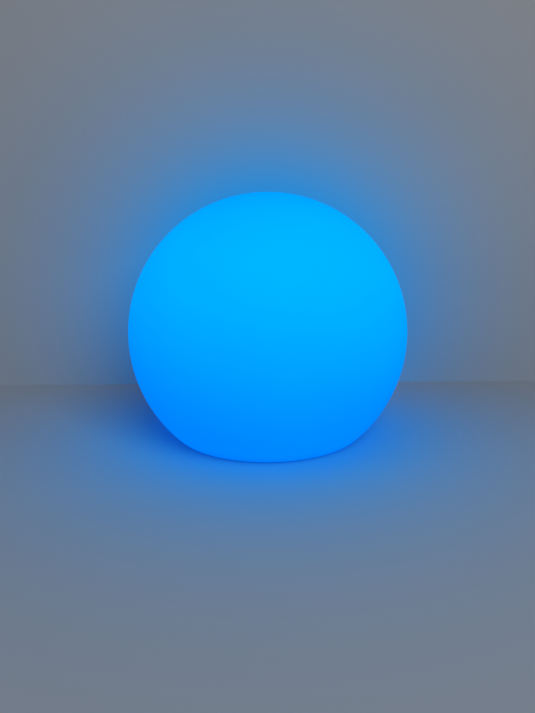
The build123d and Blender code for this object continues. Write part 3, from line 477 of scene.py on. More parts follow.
@dataclass(frozen=True)
class Moulding(Finish):
    """An injection moulding with eroded grain, rub marks and a little dust."""

    colour: Colour
    grain: float = 900.0
    depth: float = 0.03 * MM
    rough: float = 0.5
    wear: float = 0.4
    dust: float = 0.12
    specular: float = 0.4

    def lay_out(self, bench: Bench, place: Socket) -> dict[str, object]:
        """Join colour, grain, rub marks and dust."""
        grain = GRAIN.place(bench, Place=place, Scale=self.grain)
        rubs = SCUFFS.place(bench, Place=place, Scale=150.0, Amount=self.wear).outputs["Mask"]
        tone = bench.mix(toned(self.colour, 0.9), toned(self.colour, 1.08), grain.outputs["Tone"])
        rubbed = bench.mix(tone, toned(self.colour, 1.2, 0.05), rubs)
        dusty = DUST.place(bench, Place=place, Colour=rubbed, Amount=self.dust)
        uneven = bench.spread(grain.outputs["Height"], self.rough - 0.05, self.rough + 0.06)
        polish = bench.math("MULTIPLY", rubs, 0.2)
        return {
            "Base Color": dusty.outputs["Colour"],
            "Roughness": bench.math("SUBTRACT", uneven, polish),
            "Specular IOR Level": self.specular,
            "Normal": bench.bump(grain.outputs["Height"], self.depth, 0.6),
        }


@dataclass(frozen=True)
class Silicone(Finish):
    """Soft matte silicone that holds a little lint."""

    colour: Colour
    rough: float = 0.62
    dust: float = 0.1
    lint_share: float = 0.35

    def lay_out(self, bench: Bench, place: Socket) -> dict[str, object]:
        """Join colour, lint and a satin moulded surface."""
        grain = GRAIN.place(bench, Place=place, Scale=1600.0)
        lint = bench.noise(place, 420.0, detail=4.0, stretch=(1.0, 5.0, 1.0))
        specks = bench.remap(lint, 0.68, 0.76, 0.0, self.lint_share)
        dusty = DUST.place(bench, Place=place, Colour=self.colour, Amount=self.dust)
        return {
            "Base Color": bench.mix(dusty.outputs["Colour"], toned(self.colour, 1.0, 0.25), specks),
            "Roughness": bench.spread(grain.outputs["Tone"], self.rough - 0.05, self.rough + 0.08),
            "Specular IOR Level": 0.35,
            "Sheen Weight": 0.15,
            "Normal": bench.bump(grain.outputs["Height"], 0.01 * MM, 0.5),
        }


@dataclass(frozen=True)
class ClearMoulding(Finish):
    """Clear polycarbonate with a faint flow ripple and fine hairlines."""

    tint: Colour = (0.93, 0.96, 0.97)
    hairline: Colour = (0.8, 0.84, 0.85)

    def lay_out(self, bench: Bench, place: Socket) -> dict[str, object]:
        """Join the tint, hairlines and ripple."""
        rubs = SCUFFS.place(bench, Place=place, Scale=160.0, Amount=1.0).outputs["Mask"]
        ripple = bench.noise(place, 90.0, detail=1.0)
        return {
            "Transmission Weight": 0.95,
            "IOR": 1.5,
            "Base Color": bench.mix(self.tint, self.hairline, rubs),
            "Roughness": bench.remap(rubs, 0.0, 1.0, 0.05, 0.3),
            "Normal": bench.bump(ripple, 0.02 * MM, 0.3),
        }


@dataclass(frozen=True)
class Metal(Finish):
    """Turned, drawn or plated metal, with tool lines and tarnish."""

    colour: Colour
    rough: float = 0.28
    lines: Triple = (1.0, 1.0, 18.0)
    tarnish: Colour = (0.3, 0.28, 0.25)
    tarnish_share: float = 0.25

    def lay_out(self, bench: Bench, place: Socket) -> dict[str, object]:
        """Join colour, tarnish and tool lines."""
        drawn = bench.noise(place, 500.0, detail=3.0, stretch=self.lines)
        clouds = bench.noise(place, 130.0, detail=4.0)
        share = bench.remap(clouds, 0.5, 0.75, 0.0, self.tarnish_share)
        tone = bench.mix(self.colour, toned(self.colour, 1.12), drawn)
        return {
            "Metallic": 1.0,
            "Base Color": bench.mix(tone, self.tarnish, share),
            "Roughness": bench.math("ADD", bench.spread(drawn, self.rough - 0.06, self.rough + 0.08), share),
            "Normal": bench.bump(drawn, 0.01 * MM, 0.5),
        }


@dataclass(frozen=True)
class MaskedBoard(Finish):
    """A circuit board: solder mask over copper tracks, pads and drilled holes.

    Square cells cut the board in blocks. Each block has its tracks along X, along Y or slanted,
    or has none, and pads with holes stand everywhere. The pitch counts tracks in a metre.
    """

    mask: Colour
    track: Colour
    pitch: float = 620.0
    show: float = 0.8
    tracks_in_block: float = 5.0
    tracks_between_pads: float = 2.5
    share_along_x: float = 0.42
    share_straight: float = 0.8
    share_bare: float = 0.45

    def copper(self, bench: Bench, place: Socket) -> Socket:
        """Where the copper stands under the mask.

        Args:
            bench: Lays the nodes.
            place: The piece's Object coordinates.

        Returns:
            A mask that is 1 on tracks and pads.
        """
        inputs = {"Vector": place, "Scale": self.pitch / self.tracks_in_block}
        blocks = bench.node("ShaderNodeTexVoronoi", inputs, distance="CHEBYCHEV", feature="F1")
        way, bare, _ = bench.node("ShaderNodeSeparateColor", {0: blocks.outputs["Color"]}).outputs
        x, y, _ = bench.node("ShaderNodeSeparateXYZ", {0: place}).outputs
        slanted = bench.math("MULTIPLY", bench.math("ADD", x, y), math.sqrt(0.5))
        is_along_x = bench.math("LESS_THAN", way, self.share_along_x)
        is_slanted = bench.math("GREATER_THAN", way, self.share_straight)
        across = bench.mix_value(bench.mix_value(y, x, is_along_x), slanted, is_slanted)
        wave = bench.math("FRACT", bench.math("MULTIPLY", across, self.pitch))
        off_line = bench.math("ABSOLUTE", bench.math("SUBTRACT", wave, 0.5))
        lines = bench.remap(off_line, 0.2, 0.26)
        routed = bench.math("MULTIPLY", lines, bench.math("GREATER_THAN", bare, self.share_bare))
        inputs = {"Vector": place, "Scale": self.pitch / self.tracks_between_pads}
        away = bench.node("ShaderNodeTexVoronoi", inputs, feature="F1").outputs["Distance"]
        pads = bench.remap(away, 0.17, 0.2, 1.0, 0.0)
        holes = bench.remap(away, 0.07, 0.09)
        return bench.math("MULTIPLY", bench.math("MAXIMUM", routed, pads), holes)

    def lay_out(self, bench: Bench, place: Socket) -> dict[str, object]:
        """Join the mask, the copper that shows through it and its slow unevenness."""
        raised = self.copper(bench, place)
        tone = bench.mix(toned(self.mask, 0.85), self.mask, bench.noise(place, 60.0))
        return {
            "Base Color": bench.mix(tone, self.track, bench.math("MULTIPLY", raised, self.show)),
            "Roughness": bench.remap(raised, 0.0, 1.0, 0.32, 0.24),
            "Normal": bench.bump(raised, 0.03 * MM, 0.8),
        }


@dataclass(frozen=True)
class ShrinkWrap(Finish):
    """Plain plastic sleeve shrunk round a cell, with faint tension lines."""

    colour: Colour

    def lay_out(self, bench: Bench, place: Socket) -> dict[str, object]:
        """Join colour, tension lines and gloss."""
        drawn = bench.noise(place, 160.0, detail=3.0, stretch=(0.25, 3.0, 3.0))
        return {
            "Base Color": bench.mix(toned(self.colour, 0.8), self.colour, drawn),
            "Roughness": bench.spread(drawn, 0.22, 0.34),
            "Normal": bench.bump(drawn, 0.06 * MM, 0.5),
        }


@dataclass(frozen=True)
class Insulation(Finish):
    """Thin extruded insulation on a lead."""

    colour: Colour

    def lay_out(self, bench: Bench, place: Socket) -> dict[str, object]:
        """Join colour and extrusion lines."""
        drawn = bench.noise(place, 1500.0, stretch=(1.0, 1.0, 0.05))
        return {
            "Base Color": bench.mix(self.colour, toned(self.colour, 1.15, 0.02), drawn),
            "Roughness": bench.spread(drawn, 0.34, 0.46),
            "Normal": bench.bump(drawn, 0.01 * MM, 0.4),
        }


@dataclass(frozen=True)
class LedWindow(Finish):
    """The encapsulant of a lit LED, its glow brighter in soft patches."""

    lit: Colour = (0.05, 0.5, 1.0)
    brightest: Colour = (0.3, 0.8, 1.0)
    body: Colour = (0.75, 0.8, 0.82)
    strength: float = 1.6

    def lay_out(self, bench: Bench, place: Socket) -> dict[str, object]:
        """Join the glow, its unevenness and the glossy surface."""
        soft = bench.noise(place, 900.0)
        return {
            "Base Color": bench.mix(self.body, self.lit, soft),
            "Emission Color": bench.mix(self.lit, self.brightest, bench.remap(soft, 0.4, 0.65)),
            "Emission Strength": self.strength,
            "Roughness": bench.spread(soft, 0.12, 0.2),
        }


@dataclass(frozen=True)
class StudioSurface(Finish):
    """The plain floor or backdrop, which is not seen from behind.

    Near the ball its colour turns towards a painted pool of the ball's blue glow light, which fades with the
    distance.
    """

    colour: Colour
    # Painted light: where the painted pool of the ball's glow starts, how far it reaches, how it rounds off,
    # and its blue colour.
    painted_glow_start: float
    painted_glow_reach: float
    painted_glow_rounding: float = 0.6
    painted_glow_colour: Colour = (0.0, 0.275, 0.62)

    def make(self) -> bpy.types.Material:
        """Build the material with its back left open.

        Returns:
            The new material.
        """
        material = super().make()
        bench = Bench(material.node_tree)
        output = next(node for node in bench.tree.nodes if node.type == "OUTPUT_MATERIAL")
        shader = next(node for node in bench.tree.nodes if node.type == "BSDF_PRINCIPLED")
        behind = bench.node("ShaderNodeNewGeometry").outputs["Backfacing"]
        clear = bench.node("ShaderNodeBsdfTransparent")
        both = bench.node("ShaderNodeMixShader", {0: behind, 1: shader.outputs[0], 2: clear.outputs[0]})
        bench.feed(both.outputs[0], output.inputs["Surface"])
        return material

    def lay_out(self, bench: Bench, place: Socket) -> dict[str, object]:
        """Join a plain matte colour, a very faint unevenness and a painted pool of the ball's glow light."""
        plain = bench.mix(toned(self.colour, 0.985), self.colour, bench.noise(place, 9.0))
        # Painted light: the base colour turns towards the glow's blue near the ball, a painted pool of its
        # light that fades with distance.
        away = bench.node("ShaderNodeVectorMath", {0: place, 1: BALL_MIDDLE}, operation="DISTANCE")
        gap = bench.math("SUBTRACT", away.outputs["Value"], BALL_RADIUS + self.painted_glow_start)
        painted_glow_fading = bench.math("POWER", math.e, bench.math("DIVIDE", gap, -self.painted_glow_reach))
        share = bench.math("SMOOTH_MIN", painted_glow_fading, 1.0, self.painted_glow_rounding)
        return {
            "Base Color": bench.mix(plain, self.painted_glow_colour, share),
            "Roughness": 0.9,
            "Specular IOR Level": 0.05,
        }


WHITE_MOULD = {"grain": 1400.0, "depth": 0.012 * MM, "rough": 0.38, "wear": 0.15}
BLACK_MOULD = {"grain": 1300.0, "depth": 0.015 * MM, "rough": 0.45, "wear": 0.3}
MILKY_MOULD = {"grain": 1500.0, "depth": 0.008 * MM, "rough": 0.22, "wear": 0.1, "dust": 0.05}
STAMPING = {"grain": 1500.0, "depth": 0.01 * MM, "wear": 0.3, "dust": 0.1}
PRESSED_FERRITE = {"grain": 2200.0, "depth": 0.02 * MM, "rough": 0.6, "wear": 0.5, "dust": 0.05}
FIRED_CERAMIC = {"grain": 3000.0, "depth": 0.006 * MM, "rough": 0.4, "wear": 0.0, "dust": 0.0}


class Palette:
    """Every material of the light, made once and handed out by name."""

    def __init__(self) -> None:
        """Make the materials."""
        finishes = (
            LitShell("lit_shell"),
            Moulding("grey_moulding", (0.60, 0.61, 0.62)),
            Moulding("white_moulding", (0.84, 0.84, 0.82), **WHITE_MOULD),
            Moulding("black_moulding", (0.03, 0.03, 0.034), **BLACK_MOULD),
            Moulding("milky_moulding", (0.70, 0.73, 0.75), **MILKY_MOULD),
            Moulding("stamped_marks", (0.17, 0.175, 0.18), **STAMPING),
            Moulding("ferrite", (0.09, 0.085, 0.085), **PRESSED_FERRITE),
            Moulding("tan_ceramic", (0.42, 0.29, 0.17), **FIRED_CERAMIC),
            ClearMoulding("clear_moulding"),
            Silicone("grey_silicone", (0.30, 0.31, 0.32)),
            Silicone("white_silicone", (0.78, 0.79, 0.80), rough=0.5),
            Silicone("black_silicone", (0.035, 0.035, 0.035), rough=0.5),
            MaskedBoard("green_board", (0.02, 0.20, 0.08), (0.06, 0.34, 0.14)),
            MaskedBoard("led_board", (0.80, 0.81, 0.80), (0.72, 0.73, 0.73), pitch=300.0, show=0.5),
            Metal("aluminium", (0.78, 0.79, 0.80), rough=0.34),
            Metal("plated_steel", (0.66, 0.66, 0.67), rough=0.26),
            Metal("brass", (0.78, 0.58, 0.26), rough=0.24, tarnish=(0.30, 0.19, 0.08)),
            Metal("solder", (0.72, 0.72, 0.73), rough=0.2, lines=(1.0, 1.0, 1.0)),
            Metal("copper", (0.80, 0.42, 0.24), rough=0.22, tarnish=(0.35, 0.15, 0.08)),
            ShrinkWrap("cell_wrap", (0.05, 0.22, 0.48)),
            ShrinkWrap("sleeve_black", (0.03, 0.03, 0.035)),
            Insulation("lead_red", (0.62, 0.03, 0.02)),
            Insulation("lead_green", (0.02, 0.36, 0.07)),
            Insulation("lead_blue", (0.02, 0.07, 0.52)),
            Insulation("lead_white", (0.82, 0.82, 0.80)),
            LedWindow("led_window"),
            # The floor and backdrop carry a painted pool of the ball's glow light near the ball.
            StudioSurface("studio_floor", (0.205, 0.211, 0.224), painted_glow_start=5 * MM, painted_glow_reach=67 * MM),
            StudioSurface("studio_wall", (0.2, 0.204, 0.212), painted_glow_start=66 * MM, painted_glow_reach=52 * MM),
        )
        self.made = {finish.name: finish.make() for finish in finishes}

    def dress(self, piece: bpy.types.Object, name: str) -> None:
        """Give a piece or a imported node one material."""
        piece.data.materials.clear()
        piece.data.materials.append(self.made[name])


# ---------------------------------------------------------------- modelling
def new_piece(name: str, form: Form, smooth_angle: float = 35.0) -> bpy.types.Object:
    """Turn a finished form into an object at the origin.

    Args:
        name: The piece's name.
        form: The form, which is freed.
        smooth_angle: Edges sharper than this many degrees stay sharp.

    Returns:
        The new object.
    """
    bmesh.ops.remove_doubles(form, verts=form.verts, dist=MERGE_GAP)
    bmesh.ops.recalc_face_normals(form, faces=form.faces)
    mesh = bpy.data.meshes.new(name)
    form.to_mesh(mesh)
    form.free()
    mesh.polygons.foreach_set("use_smooth", [True] * len(mesh.polygons))
    mesh.set_sharp_from_angle(angle=math.radians(smooth_angle))
    piece = bpy.data.objects.new(name, mesh)
    bpy.context.scene.collection.objects.link(piece)
    return piece


def arc(centre: Point, radius: float, start: float, end: float, steps: int) -> list[Point]:
    """Points on an arc in a profile's plane, from one angle in degrees to another."""
    angles = [math.radians(start + (end - start) * step / steps) for step in range(steps + 1)]
    return [(centre[0] + radius * math.cos(angle), centre[1] + radius * math.sin(angle)) for angle in angles]


def spun(profile: list[Point], steps: int, axis_place: Point = (0.0, 0.0), closed: bool = True) -> Form:
    """Spin a profile of radius and height once round a vertical axis.

    Args:
        profile: Points of radius and height, in order.
        steps: Segments round the axis.
        axis_place: Where the axis stands.
        closed: Whether the profile's last point joins its first.

    Returns:
        The spun form.
    """
    made = bmesh.new()
    x, y = axis_place
    points = [made.verts.new((x + radius, y, height)) for radius, height in profile]
    edges = [made.edges.new(pair) for pair in zip(points, points[1:])]
    if closed:
        edges.append(made.edges.new((points[-1], points[0])))
    bmesh.ops.spin(
        made,
        geom=points + edges,
        cent=(x, y, 0.0),
        axis=(0.0, 0.0, 1.0),
        angle=math.tau,
        steps=steps,
        use_merge=True,
    )
    bmesh.ops.remove_doubles(made, verts=made.verts, dist=MERGE_GAP)
    return made


def rod(radius: float, bottom: float, top: float, rounding: float, steps: int = 24) -> Form:
    """Make an upright round rod whose two rims are rounded.

    Args:
        radius: The rod's radius.
        bottom: The height of its lower end.
        top: The height of its upper end.
        rounding: The radius of its rims.
        steps: Segments round the rod.

    Returns:
        The rod.
    """
    profile = [(0.0, bottom)]
    profile += arc((radius - rounding, bottom + rounding), rounding, -90.0, 0.0, 3)
    profile += arc((radius - rounding, top - rounding), rounding, 0.0, 90.0, 3)
    profile.append((0.0, top))
    return spun(profile, steps, closed=False)


def solder_cone(foot: float, pin: float, height: float, place: Triple = (0.0, 0.0, 0.0)) -> Form:
    """Make a cone of solder drawn up round a pin.

    Args:
        foot: The radius that the solder wets on the board.
        pin: The pin's radius.
        height: How high the solder stands.
        place: The middle of its foot.

    Returns:
        The cone.
    """
    x, y, base = place
    profile = [(0.0, base), (foot, base), (foot * 0.8, base + height * 0.14)]
    profile += [(foot * 0.42, base + height * 0.45), (pin, base + height * 0.9), (0.0, base + height)]
    return spun(profile, 20, (x, y), closed=False)


def block(size: Triple, middle: Triple, rounding: float = 0.0, segments: int = 2) -> Form:
    """Make a block whose edges are rounded.

    Args:
        size: Its size along X, Y and Z.
        middle: Where its middle is.
        rounding: The radius of its edges, or 0 for sharp ones.
        segments: Faces across a rounded edge.

    Returns:
        The block.
    """
    made = bmesh.new()
    bmesh.ops.create_cube(made, size=1.0)
    moved(made, Matrix.Translation(middle) @ Matrix.Diagonal((*size, 1.0)))
    if rounding > 0.0:
        rounded(made, made.edges[:], rounding, segments)
    return made


def rounded(form: Form, edges: list[bmesh.types.BMEdge], rounding: float, segments: int) -> None:
    """Round some edges of a form.

    Args:
        form: The form.
        edges: Its edges that are rounded.
        rounding: The radius.
        segments: Faces across a rounded edge.
    """
    bmesh.ops.bevel(
        form, geom=edges, offset=rounding, affect="EDGES", segments=segments, profile=0.5, material=-1
    )


def prism(corners: list[Point], bottom: float, top: float) -> Form:
    """Draw a flat outline up from one height to another.

    Args:
        corners: The outline's corners.
        bottom: The lower height.
        top: The upper height.

    Returns:
        The prism.
    """
    made = bmesh.new()
    face = made.faces.new([made.verts.new((x, y, bottom)) for x, y in corners])
    grown = bmesh.ops.extrude_face_region(made, geom=[face])
    lifted = [part for part in grown["geom"] if isinstance(part, bmesh.types.BMVert)]
    bmesh.ops.translate(made, vec=(0.0, 0.0, top - bottom), verts=lifted)
    return made


def band(line: Pair, heights: Pair, start: float, sweep: float, steps: int = 24) -> Form:
    """Make a piece of a flat ring round Z.

    Args:
        line: Its inner and outer radius.
        heights: Its lower and upper height.
        start: The angle in degrees where it starts.
        sweep: The angle in degrees that it covers.
        steps: Segments along it.

    Returns:
        The band.
    """
    made = bmesh.new()
    (inner, outer), (bottom, top) = line, heights
    section = ((inner, bottom), (outer, bottom), (outer, top), (inner, top))
    face = made.faces.new([made.verts.new((radius, 0.0, height)) for radius, height in section])
    turn = Matrix.Rotation(math.radians(start), 3, "Z")
    bmesh.ops.rotate(made, verts=made.verts, cent=(0.0, 0.0, 0.0), matrix=turn)
    bmesh.ops.spin(
        made,
        geom=made.verts[:] + made.edges[:] + [face],
        cent=(0.0, 0.0, 0.0),
        axis=(0.0, 0.0, 1.0),
        angle=math.radians(sweep),
        steps=steps,
        use_merge=False,
    )
    return made


def moved(form: Form, *matrices: Matrix) -> Form:
    """Move a form.

    Args:
        form: The form, which is changed.
        *matrices: The moves, in turn.

    Returns:
        The same form.
    """
    for matrix in matrices:
        bmesh.ops.transform(form, matrix=matrix, verts=form.verts)
    return form


def shift(x: float = 0.0, y: float = 0.0, z: float = 0.0) -> Matrix:
    """A move without a turn."""
    return Matrix.Translation((x, y, z))


def turned(angle: float, axis: str = "Z") -> Matrix:
    """A turn about an axis by an angle in degrees."""
    return Matrix.Rotation(math.radians(angle), 4, axis)


def around(count: int, start: float = 0.0) -> list[Matrix]:
    """Turns about Z that share out a full circle, from a start angle in degrees."""
    return [turned(start + 360.0 * index / count) for index in range(count)]


def row(count: int, pitch: float) -> list[float]:
    """Places in a row that is centred on 0."""
    return [(index - (count - 1) / 2) * pitch for index in range(count)]


def mirrored_places(x: float, y: float, z: float = 0.0) -> list[Matrix]:
    """Moves to the four corners of a rectangle round Z."""
    return [shift(side_x * x, side_y * y, z) for side_x in (-1, 1) for side_y in (-1, 1)]


def joined(*forms: Form) -> Form:
    """Put several forms in one.

    Args:
        *forms: The forms, which are freed.

    Returns:
        One form of them all.
    """
    whole = bmesh.new()
    for form in forms:
        part = bpy.data.meshes.new("part")
        form.to_mesh(part)
        form.free()
        whole.from_mesh(part)
        bpy.data.meshes.remove(part)
    return whole


def repeated(form: Form, places: list[Matrix]) -> Form:
    """Repeat a form at several places.

    Args:
        form: The pattern, which is freed.
        places: The place of each copy.

    Returns:
        One form of all the copies.
    """
    copies = [moved(form.copy(), place) for place in places]
    form.free()
    return joined(*copies)


def carved(body: Form, tool: Form, cut: Cut = Cut.REMOVE) -> Form:
    """Cut one closed form with another, or join them.

    Args:
        body: The form that is worked on, which is freed.
        tool: The form that cuts it or joins it, which is freed.
        cut: What the tool does.

    Returns:
        The resulting form.
    """
    blank, cutter = new_piece("blank", body), new_piece("cutter", tool)
    modifier = blank.modifiers.new("cut", "BOOLEAN")
    modifier.object, modifier.operation, modifier.solver = cutter, cut.value, "EXACT"
    modifier.use_self = True
    result = bpy.data.meshes.new_from_object(blank.evaluated_get(bpy.context.evaluated_depsgraph_get()))
    made = bmesh.new()
    made.from_mesh(result)
    bpy.data.meshes.remove(result)
    for piece in (blank, cutter):
        mesh = piece.data
        bpy.data.objects.remove(piece)
        bpy.data.meshes.remove(mesh)
    return made


@dataclass
class Assembly:
    """A sub-assembly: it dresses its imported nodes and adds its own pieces, which ride on its body."""

    palette: Palette
    pieces: list[bpy.types.Object] = field(default_factory=list)
    body: Body = Body.MODULE

    def dress_nodes(self, finishes: dict[str, str]) -> None:
        """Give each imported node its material, by the names of both."""
        for node, finish in finishes.items():
            self.palette.dress(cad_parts[node], finish)

    def add(
        self,
        name: str,
        form: Form,
        slot: Slot,
        finish: str,
        stands_for: str = "",
        smooth_angle: float = 35.0,
    ) -> None:
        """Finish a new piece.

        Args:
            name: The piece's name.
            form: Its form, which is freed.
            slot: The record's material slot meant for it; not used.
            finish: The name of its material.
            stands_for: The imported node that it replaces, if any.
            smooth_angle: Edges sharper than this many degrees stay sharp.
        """
        piece = new_piece(name, form, smooth_angle)
        self.palette.dress(piece, finish)
        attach(piece, self.body.value)
        if stands_for:
            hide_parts(stands_for)
        self.pieces.append(piece)


@dataclass(frozen=True)
class Screw:
    """A screw that points down, with its head's seat at height 0."""

    radius: float
    length: float
    head_radius: float
    head_height: float
    thread_length: float
    countersunk: bool = False
    pitch: float = 0.7 * MM
    drive_radius: float = 0.9 * MM
    core_share: float = 0.8
    tip: float = 0.1 * MM
    head_edge: float = 0.15 * MM
    steps_in_turn: int = 16

    def core(self) -> Form:
        """The core, pointed at its end."""
        radius = self.radius * self.core_share
        profile = [(0.0, -self.length), (radius / 2, self.tip - self.length)]
        profile += [(radius, self.radius - self.length), (radius, 0.0), (0.0, 0.0)]
        return spun(profile, 20, closed=False)

    def thread(self) -> Form:
        """The rolled ridge that winds round the core."""
        root = self.radius * self.core_share * 0.9
        low = self.radius - self.length
        section = ((root, low), (self.radius, low + self.pitch * 0.3), (root, low + self.pitch * 0.6))
        ridge = bmesh.new()
        corners = [ridge.verts.new((radius, 0.0, height)) for radius, height in section]
        face = ridge.faces.new(corners)
        turns = int((min(self.thread_length, self.length) - self.radius) / self.pitch)
        bmesh.ops.spin(
            ridge,
            geom=corners + list(face.edges) + [face],
            cent=(0.0, 0.0, 0.0),
            axis=(0.0, 0.0, 1.0),
            dvec=(0.0, 0.0, self.pitch / self.steps_in_turn),
            angle=math.tau * turns,
            steps=self.steps_in_turn * turns,
            use_merge=False,
        )
        return ridge

    def head(self) -> Form:
        """The head, with its six-sided drive."""
        top = 0.0 if self.countersunk else self.head_height
        if self.countersunk:
            profile = [(0.0, -self.head_height), (self.radius * self.core_share, -self.head_height)]
            profile += [(self.head_radius, -self.head_edge), (self.head_radius, top)]
        else:
            crown = self.head_height * 0.6
            profile = [(0.0, 0.0), (self.head_radius, 0.0)]
            profile += arc((self.head_radius - crown, top - crown), crown, 0.0, 90.0, 5)
        profile.append((0.0, top))
        drive = bmesh.new()
        bmesh.ops.create_cone(
            drive,
            cap_ends=True,
            segments=6,
            radius1=self.drive_radius,
            radius2=self.drive_radius,
            depth=self.head_height * 1.2,
        )
        return carved(spun(profile, 36, closed=False), moved(drive, shift(z=top)))

    def model(self) -> Form:
        """The whole screw."""
        return joined(self.head(), self.core(), self.thread())


# ---------------------------------------------------------------- the ball
@dataclass
class Globe(Assembly):
    """The moulded ball with its pocket, and the socket ring screwed under it."""

    body: Body = Body.GLOBE
    base_round: float = 6 * MM
    wall: float = 3 * MM
    pocket_radius: float = 52 * MM
    pocket_depth: float = 10 * MM
    pocket_round: float = 2 * MM
    shelf_thickness: float = 4 * MM
    shelf_width: float = 9 * MM
    screw_count: int = 6
    screw_circle: float = 47.5 * MM
    boss_radius: float = 4.3 * MM
    boss_round: float = 1 * MM
    boss_top: float = 17 * MM
    insert_radius: float = 2.3 * MM
    insert_length: float = 5 * MM
    insert_flange: float = 0.5 * MM
    overcut: float = 1 * MM
    screw: Screw = Screw(
        radius=1.5 * MM,
        length=8.5 * MM,
        head_radius=2.8 * MM,
        head_height=1.7 * MM,
        thread_length=6 * MM,
        countersunk=True,
    )
    segments: int = 168
    arc_steps: int = 84

    def profile(self) -> list[Point]:
        """The wall's closed outline, from the base round the outside and back inside."""
        centre = BALL_MIDDLE[2]
        middle_radius = BALL_RADIUS - self.base_round
        drop = centre - self.base_round
        tilt = math.degrees(math.asin(drop / middle_radius))
        rim = (math.sqrt(middle_radius**2 - drop**2), self.base_round)
        shelf_top = self.pocket_depth + self.shelf_thickness
        inner_pocket = self.pocket_radius + self.wall
        lip = self.pocket_round
        points = arc(rim, self.base_round, -90.0, -tilt, 10)
        points += arc((0.0, centre), BALL_RADIUS, -tilt, 90.0, self.arc_steps)[1:]
        points += arc((0.0, centre), BALL_RADIUS - self.wall, 90.0, -tilt, self.arc_steps)
        points += arc(rim, self.base_round - self.wall, -tilt, -90.0, 6)[1:]
        points += arc((inner_pocket + lip, self.wall + lip), lip, -90.0, -180.0, 5)
        points += arc((inner_pocket - lip, shelf_top - lip), lip, 0.0, 90.0, 5)
        points += [(self.pocket_radius - self.shelf_width, z) for z in (shelf_top, self.pocket_depth)]
        points.append((self.pocket_radius, self.pocket_depth))
        points += arc((self.pocket_radius + lip, lip), lip, 180.0, 270.0, 6)
        return points

    def ball(self) -> Form:
        """The hollow ball, with a boss and a blind hole for each threaded insert."""
        places = [turn @ shift(x=self.screw_circle) for turn in around(self.screw_count)]
        foot = self.pocket_depth + self.shelf_thickness / 2
        boss = rod(self.boss_radius, foot, self.boss_top, self.boss_round, steps=40)
        flange = self.insert_radius + self.insert_flange
        below, rim = self.pocket_depth - self.overcut, self.pocket_depth + self.insert_flange
        end = self.pocket_depth + self.insert_length
        outline = [(0.0, below), (flange, below), (flange, rim), (self.insert_radius, rim)]
        hole = spun(outline + [(self.insert_radius, end), (0.0, end)], 32, closed=False)
        bossed = carved(spun(self.profile(), self.segments), repeated(boss, places), Cut.JOIN)
        return carved(bossed, repeated(hole, places))

    def build(self) -> None:
        """Model the smooth ball and the ring's screws, and dress the ring's parts."""
        self.add("ball", self.ball(), Slot.LIT_SHELL, "lit_shell", "globe_shell", smooth_angle=40.0)
        head = shift(x=self.screw_circle, z=foot_of("socket_ring")) @ turned(180.0, "X")
        screws = repeated(self.screw.model(), [turn @ head for turn in around(self.screw_count)])
        self.add("ring_fixings", screws, Slot.STEEL, "plated_steel", "ring_screws")
        nodes = {"shell_inserts": "brass", "ring_gasket": "black_silicone", "socket_ring": "grey_moulding"}
        self.dress_nodes(nodes)


